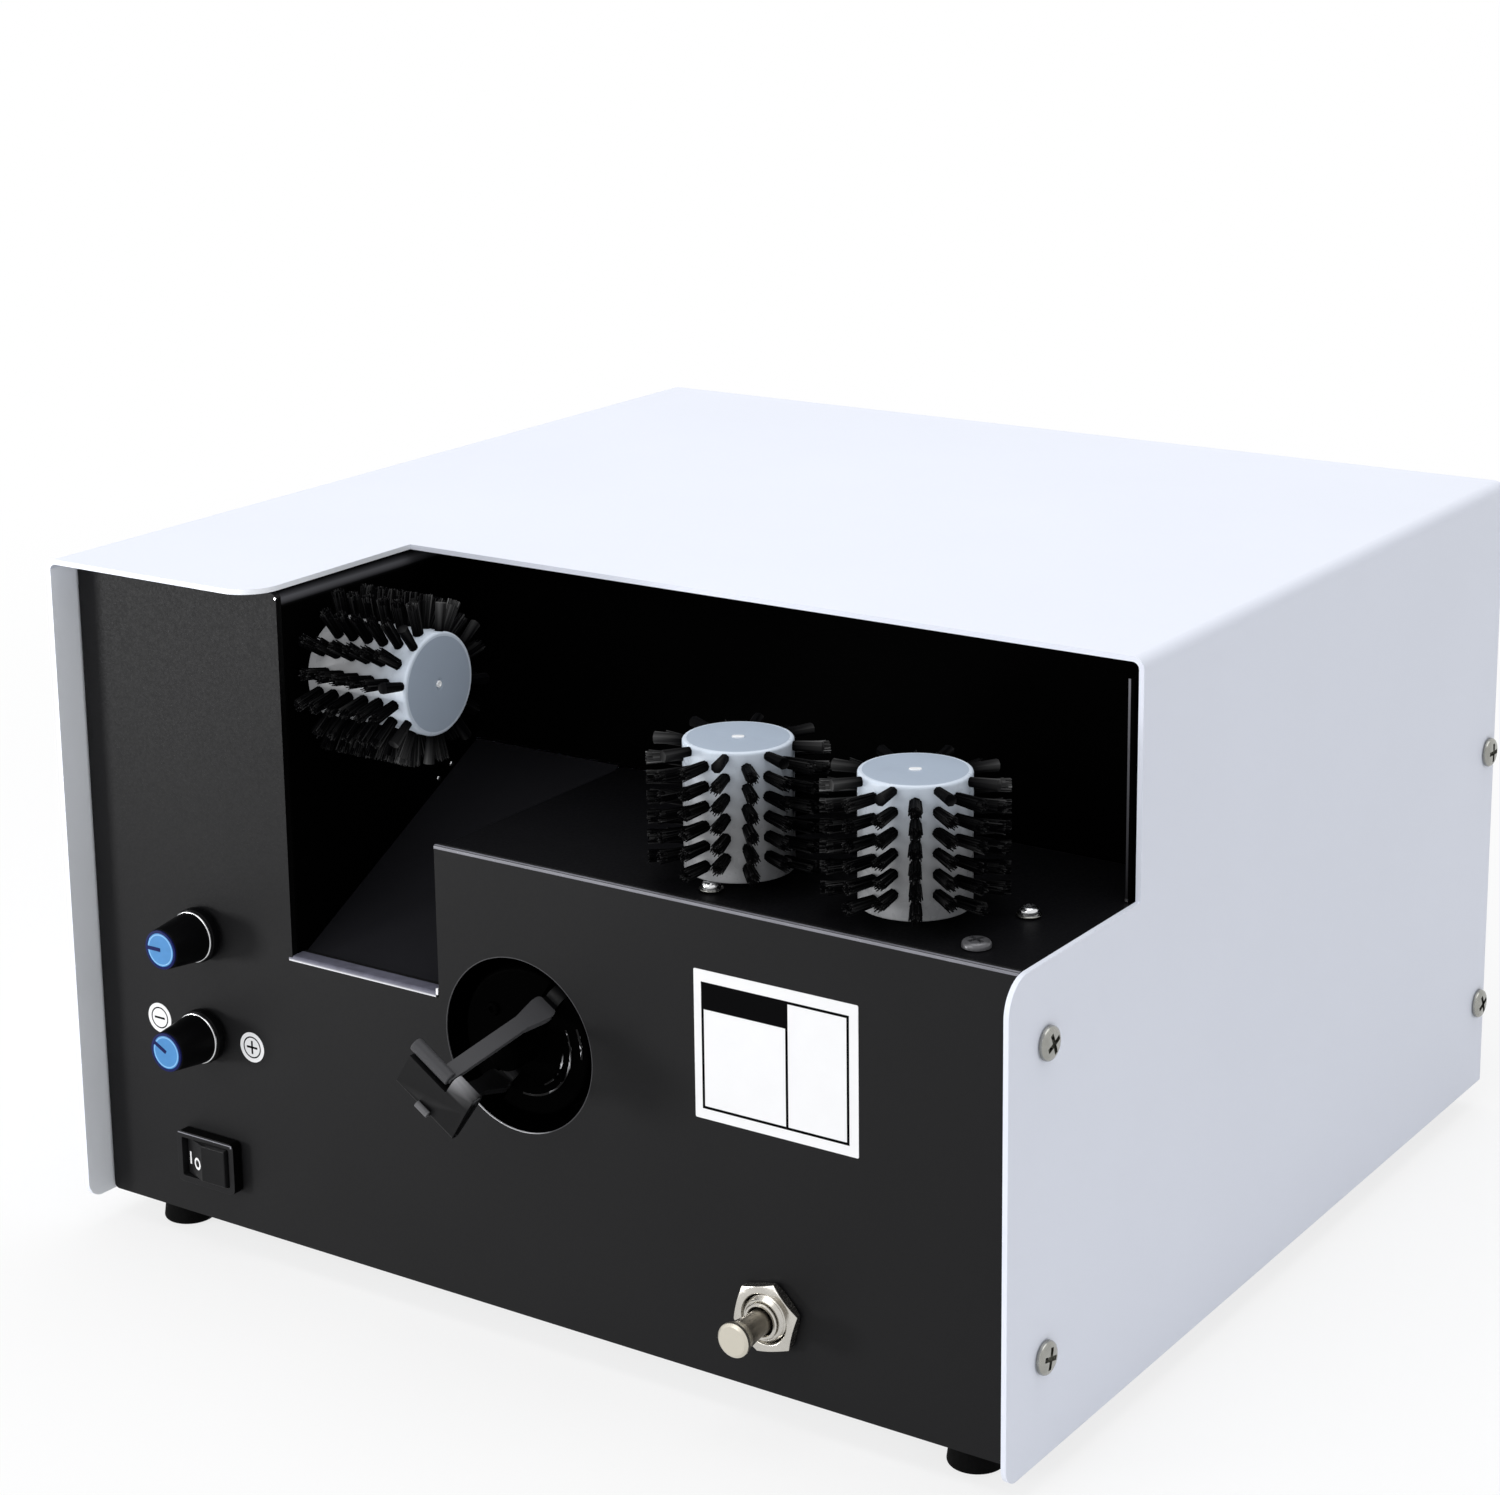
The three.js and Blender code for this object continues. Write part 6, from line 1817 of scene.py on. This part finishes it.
        plunger = Shape().turn(Axis.Y, centre, [
            (0, tip), (head - 0.75, tip), (head, tip + 0.6, 0.3), (head, tip + 1.5, 0.2),
            (3.9, tip + 3.6, 1.5), (3.3, tip + 9), (3.3, face + 9), (0, face + 9)],
            64).piece("plunger_turned", Finishes.STEM, ["button_plunger"], 0, body="push_button")
        shade(plunger, lambda point: point.y < tip + 1.6)

    def build(self) -> None:
        """Builds every control."""
        Knob("upper", self.upper, 0).build()
        Knob("lower", self.lower, self.lower_pointer).build()
        self.marks()
        self.rocker()
        self.push_button()


@dataclass
class RatingPlate:
    """Bare white plate on the panel, with a thin frame line, a divider and an empty header."""

    x: tuple[float, float] = (206.4, 254)
    z: tuple[float, float] = (77.4, 116.4)
    line: float = 0.7
    divider: float = 233.2
    header: float = 106.2
    panel: float = PANEL_FACE

    def build(self) -> None:
        """Builds the plate and its printed lines."""
        face, line = self.panel, self.line
        plate = Shape().draw(Axis.Y, rectangle(self.x, self.z, 0.4), face - 0.12, face + 0.1, arc=4)
        plate.piece("plate_blank", Finishes.PRINT, bevel=0)
        left, right, low, high = self.x[0] + 2.2, self.x[1] - 2.6, self.z[0] + 2.7, self.z[1] - 3.1
        wide, tall, depth = (left, right), (low, high), (face - 0.16, face - 0.05)
        lines = Shape()
        for x, z in ((wide, (high - line, high)), (wide, (low, low + line)),
                     ((left, left + line), tall), ((right - line, right), tall),
                     ((self.divider, self.divider + line), tall),
                     ((left, self.divider), (self.header, high))):
            lines.weld(Shape().block(x, depth, z))
        lines.piece("plate_lines", Finishes.INK, bevel=0)


@dataclass
class Feet:
    """Four tapered rubber feet, grown on points from one turned foot."""

    places: tuple[tuple[float, float], ...] = ((20, 21), (280, 21), (20, 272), (280, 272))
    radius: float = 7.5
    top_radius: float = 6.4
    height: float = 8.3
    dimple: float = 3

    def build(self) -> None:
        """Turns one foot and sets a copy on each place."""
        foot = Shape().turn(Axis.Z, (0, 0), [
            (0, 4), (self.dimple, 4, 0.3), (self.dimple, 0, 0.5), (self.radius, 0, 0.9),
            (self.top_radius, self.height, 0.6), (1.7, self.height), (1.7, 10.6), (0, 10.6)], 48)
        foot.repeated([(*place, 0) for place in self.places]).piece(
            "feet_moulded", Finishes.RUBBER,
            ["foot_front_left", "foot_front_right", "foot_rear_left", "foot_rear_right"], 0)


@dataclass
class Studio:
    """Pale floor, soft light, white surroundings and the camera at the photograph's angle."""

    place: tuple[float, float, float] = (493.1, -741.9, 402.2)
    heading: float = 34.149
    dip: float = 13.421
    roll: float = -0.71
    lens: float = 78.59
    shift: float = -0.1333
    ambient: float = 0.63
    floor_half: float = 3.0
    floor_white: tuple[float, float] = (0.25, 1.0)
    floor_share: float = 0.76
    lamps: tuple[tuple[str, tuple[float, float, float], float, float], ...] = (
        ("top_lamp", (0.0, 0.0, 1.4), 1.2, 8.5), ("front_lamp", (-0.35, -1.5, 0.75), 0.9, 6.2),
        ("low_lamp", (-0.65, -0.7, 0.04), 0.16, 3.9))

    def camera(self) -> None:
        """Sets up the camera."""
        lens = bpy.data.cameras.new("camera")
        lens.sensor_width = 36
        lens.lens = self.lens
        lens.shift_y = self.shift
        lens.clip_start = 0.01
        lens.clip_end = 50
        thing = stand("camera", lens)
        thing.matrix_world = (
            Matrix.Translation(Vector(self.place) * MM)
            @ Matrix.Rotation(math.radians(self.heading), 4, "Z")
            @ Matrix.Rotation(math.radians(90 - self.dip), 4, "X")
            @ Matrix.Rotation(math.radians(self.roll), 4, "Z"))
        bpy.context.scene.camera = thing

    def seen_share(self, tree: bpy.types.NodeTree) -> bpy.types.NodeSocket:
        """Gives 1 for rays that show the background: camera, glossy and transmission rays.

        Args:
            tree: the node tree to add to.

        Returns:
            The socket with the share.
        """
        path = add_node(tree, "ShaderNodeLightPath").node
        share = path.outputs["Is Camera Ray"]
        for name in ("Is Glossy Ray", "Is Transmission Ray"):
            share = add_node(tree, "ShaderNodeMath", 0, {"operation": "MAXIMUM"}, n0=share,
                             n1=path.outputs[name])
        return share

    def surroundings(self) -> None:
        """Makes the world white where it is seen and softer where it lights the object."""
        world = bpy.data.worlds.new("surroundings")
        world.use_nodes = True
        tree = world.node_tree
        soft = tree.nodes["Background"]
        feed(soft, Color=(0.97, 0.98, 1, 1), Strength=self.ambient)
        white = add_node(tree, "ShaderNodeBackground", Color=(1, 1, 1, 1))
        mixed = add_node(tree, "ShaderNodeMixShader", n0=self.seen_share(tree), n1=soft.outputs[0],
                         n2=white)
        feed(tree.nodes["World Output"], Surface=mixed)
        bpy.context.scene.world = world

    def floor(self) -> None:
        """Lays the plain pale floor, which keeps the object's shadow."""
        half = self.floor_half
        mesh = bpy.data.meshes.new("floor")
        mesh.from_pydata([(-half, -half, 0), (half, -half, 0), (half, half, 0), (-half, half, 0)], [],
                         [(0, 1, 2, 3)])
        thing = stand("floor", mesh)
        material = bpy.data.materials.new("pale_floor")
        material.use_nodes = True
        tree = material.node_tree
        add = partial(add_node, tree)
        shader = tree.nodes["Principled BSDF"]
        feed(shader, Base_Color=(0.92, 0.92, 0.92, 1), Roughness=0.9, Specular_IOR_Level=0)
        glow = add("ShaderNodeEmission", Strength=1)
        away = add("ShaderNodeVectorMath", "Value", {"operation": "LENGTH"},
                   n0=add("ShaderNodeTexCoord", "Object"))
        start, end = self.floor_white
        fade = add("ShaderNodeMapRange", "Result", {"interpolation_type": "SMOOTHSTEP"}, Value=away,
                   From_Min=start, From_Max=end, To_Min=self.floor_share)
        share = add("ShaderNodeMath", 0, {"operation": "MULTIPLY"}, n0=self.seen_share(tree), n1=fade)
        mixed = add("ShaderNodeMixShader", n0=share, n1=shader.outputs[0], n2=glow)
        feed(tree.nodes["Material Output"], Surface=mixed)
        mesh.materials.append(material)

    def lamp(self, name: str, place: Sequence[float], size: float, power: float) -> None:
        """Hangs a square soft lamp that faces the machine's middle.

        Args:
            name: the lamp's name.
            place: where it hangs, in metres.
            size: the length of its side, in metres.
            power: its power in watts.
        """
        light = bpy.data.lights.new(name, "AREA")
        light.size = size
        light.energy = power
        aim = Vector((0, 0, 0.1)) - Vector(place)
        turn = aim.to_track_quat("-Z", "Y").to_matrix().to_4x4()
        stand(name, light).matrix_world = Matrix.Translation(place) @ turn

    def build(self) -> None:
        """Builds the whole studio."""
        bpy.context.scene.view_settings.view_transform = "Standard"
        self.camera()
        self.surroundings()
        self.floor()
        for name, place, size, power in self.lamps:
            self.lamp(name, place, size, power)


def finish_frame_nodes() -> None:
    """Gives each remaining solid of the frame the finish of its slot."""
    by_slot = {
        "white_powder_coat": Finishes.WHITE, "black_powder_coat": Finishes.PANEL,
        "zinc_plate": Finishes.ZINC, "bright_steel": Finishes.BRIGHT, "plain_steel": Finishes.STEEL,
        "black_oxide_steel": Finishes.ROTOR, "brass": Finishes.BRASS, "natural_nylon": Finishes.NYLON,
        "bristle_nylon": Finishes.FILAMENT, "foot_rubber": Finishes.RUBBER,
        "black_plastic": Finishes.PLASTIC, "aluminium": Finishes.ALUMINIUM,
    }
    slots = {part["node"]: part["material_slot"] for part in frame["record"]["subparts"]}
    for name, node in frame["nodes"].items():
        node.data.materials.clear()
        node.data.materials.append(by_slot[slots[name]].build())


def build_screws() -> None:
    """Builds the cover's screws, three bright shelf screws and the dark one."""
    housing = Housing()
    sides = [(-0.3, -1, "left"), (300.3, 1, "right")]
    names = ["front_low", "front_high", "rear_low", "rear_high"]
    Screws("cover_screws", Finishes.SCREW,
           [f"cover_screw_{side}_{name}" for _, _, side in sides for name in names],
           [(x, *place) for x, _, _ in sides for place in housing.screw_places],
           [(way, 0, 0) for _, way, _ in sides for _ in names],
           head=4.3, rise=1.7, shank=1.9, tail=5.2).build()
    top, washer = housing.shelf_top + 0.3, 0.5
    places = {f"shelf_screw_{side}_{row}": (x, y)
              for side, x in zip(("left", "right"), housing.shelf_screw_x)
              for row, y in zip(("front", "rear"), housing.shelf_screw_y)}
    dark = places.pop("shelf_screw_right_front")
    Screws("shelf_screws", Finishes.BRIGHT, list(places),
           [(*place, top + washer) for place in places.values()], [(0, 0, 1)] * 3,
           head=2.5, rise=1.9, shank=1.5, tail=10, seed=5).build()
    washers = Shape()
    inner, outer, high = 1.6, 3.1, top + washer - 0.05
    for place in places.values():
        washers.turn(Axis.Z, place, [
            (inner, top), (outer, top, 0.15), (outer, high, 0.15), (inner, high)], 32, arc=3)
    washers.piece("shelf_washers", Finishes.SCREW, bevel=0)
    Screws("dark_screw", Finishes.BLACK_SCREW, ["shelf_screw_right_front"], [(*dark, top)],
           [(0, 0, 1)], head=3.6, rise=1.8, shank=1.5, tail=10, seed=7).build()


def build_brushes() -> None:
    """Builds the standing pair and the brush across the tower's side."""
    housing = Housing()
    left, right = ((*place, housing.brush_foot) for place in housing.brush_places)
    Brush("left", left, row_angle=-47.2, seed=11).build()
    Brush("right", right, row_angle=-58.8, seed=12).build()
    side = (77.3, *housing.side_brush_place)
    Brush("side", side, row_angle=-122.4, tilt=90, lit=-20, dimple_highlight=(0.9, 0.9), seed=13).build()


def main() -> None:
    """Builds the studio and every piece of the machine."""
    logging.basicConfig(level=logging.INFO, format="%(message)s")
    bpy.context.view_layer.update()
    Studio().build()
    finish_frame_nodes()
    housing, controls = Housing(), Controls()
    housing.cover()
    housing.front_panel(controls.holes())
    housing.bay()
    housing.edges()
    housing.rear_panel()
    build_screws()
    build_brushes()
    TwistHead().build()
    controls.build()
    RatingPlate().build()
    Feet().build()


if __name__ == "__main__":
    main()
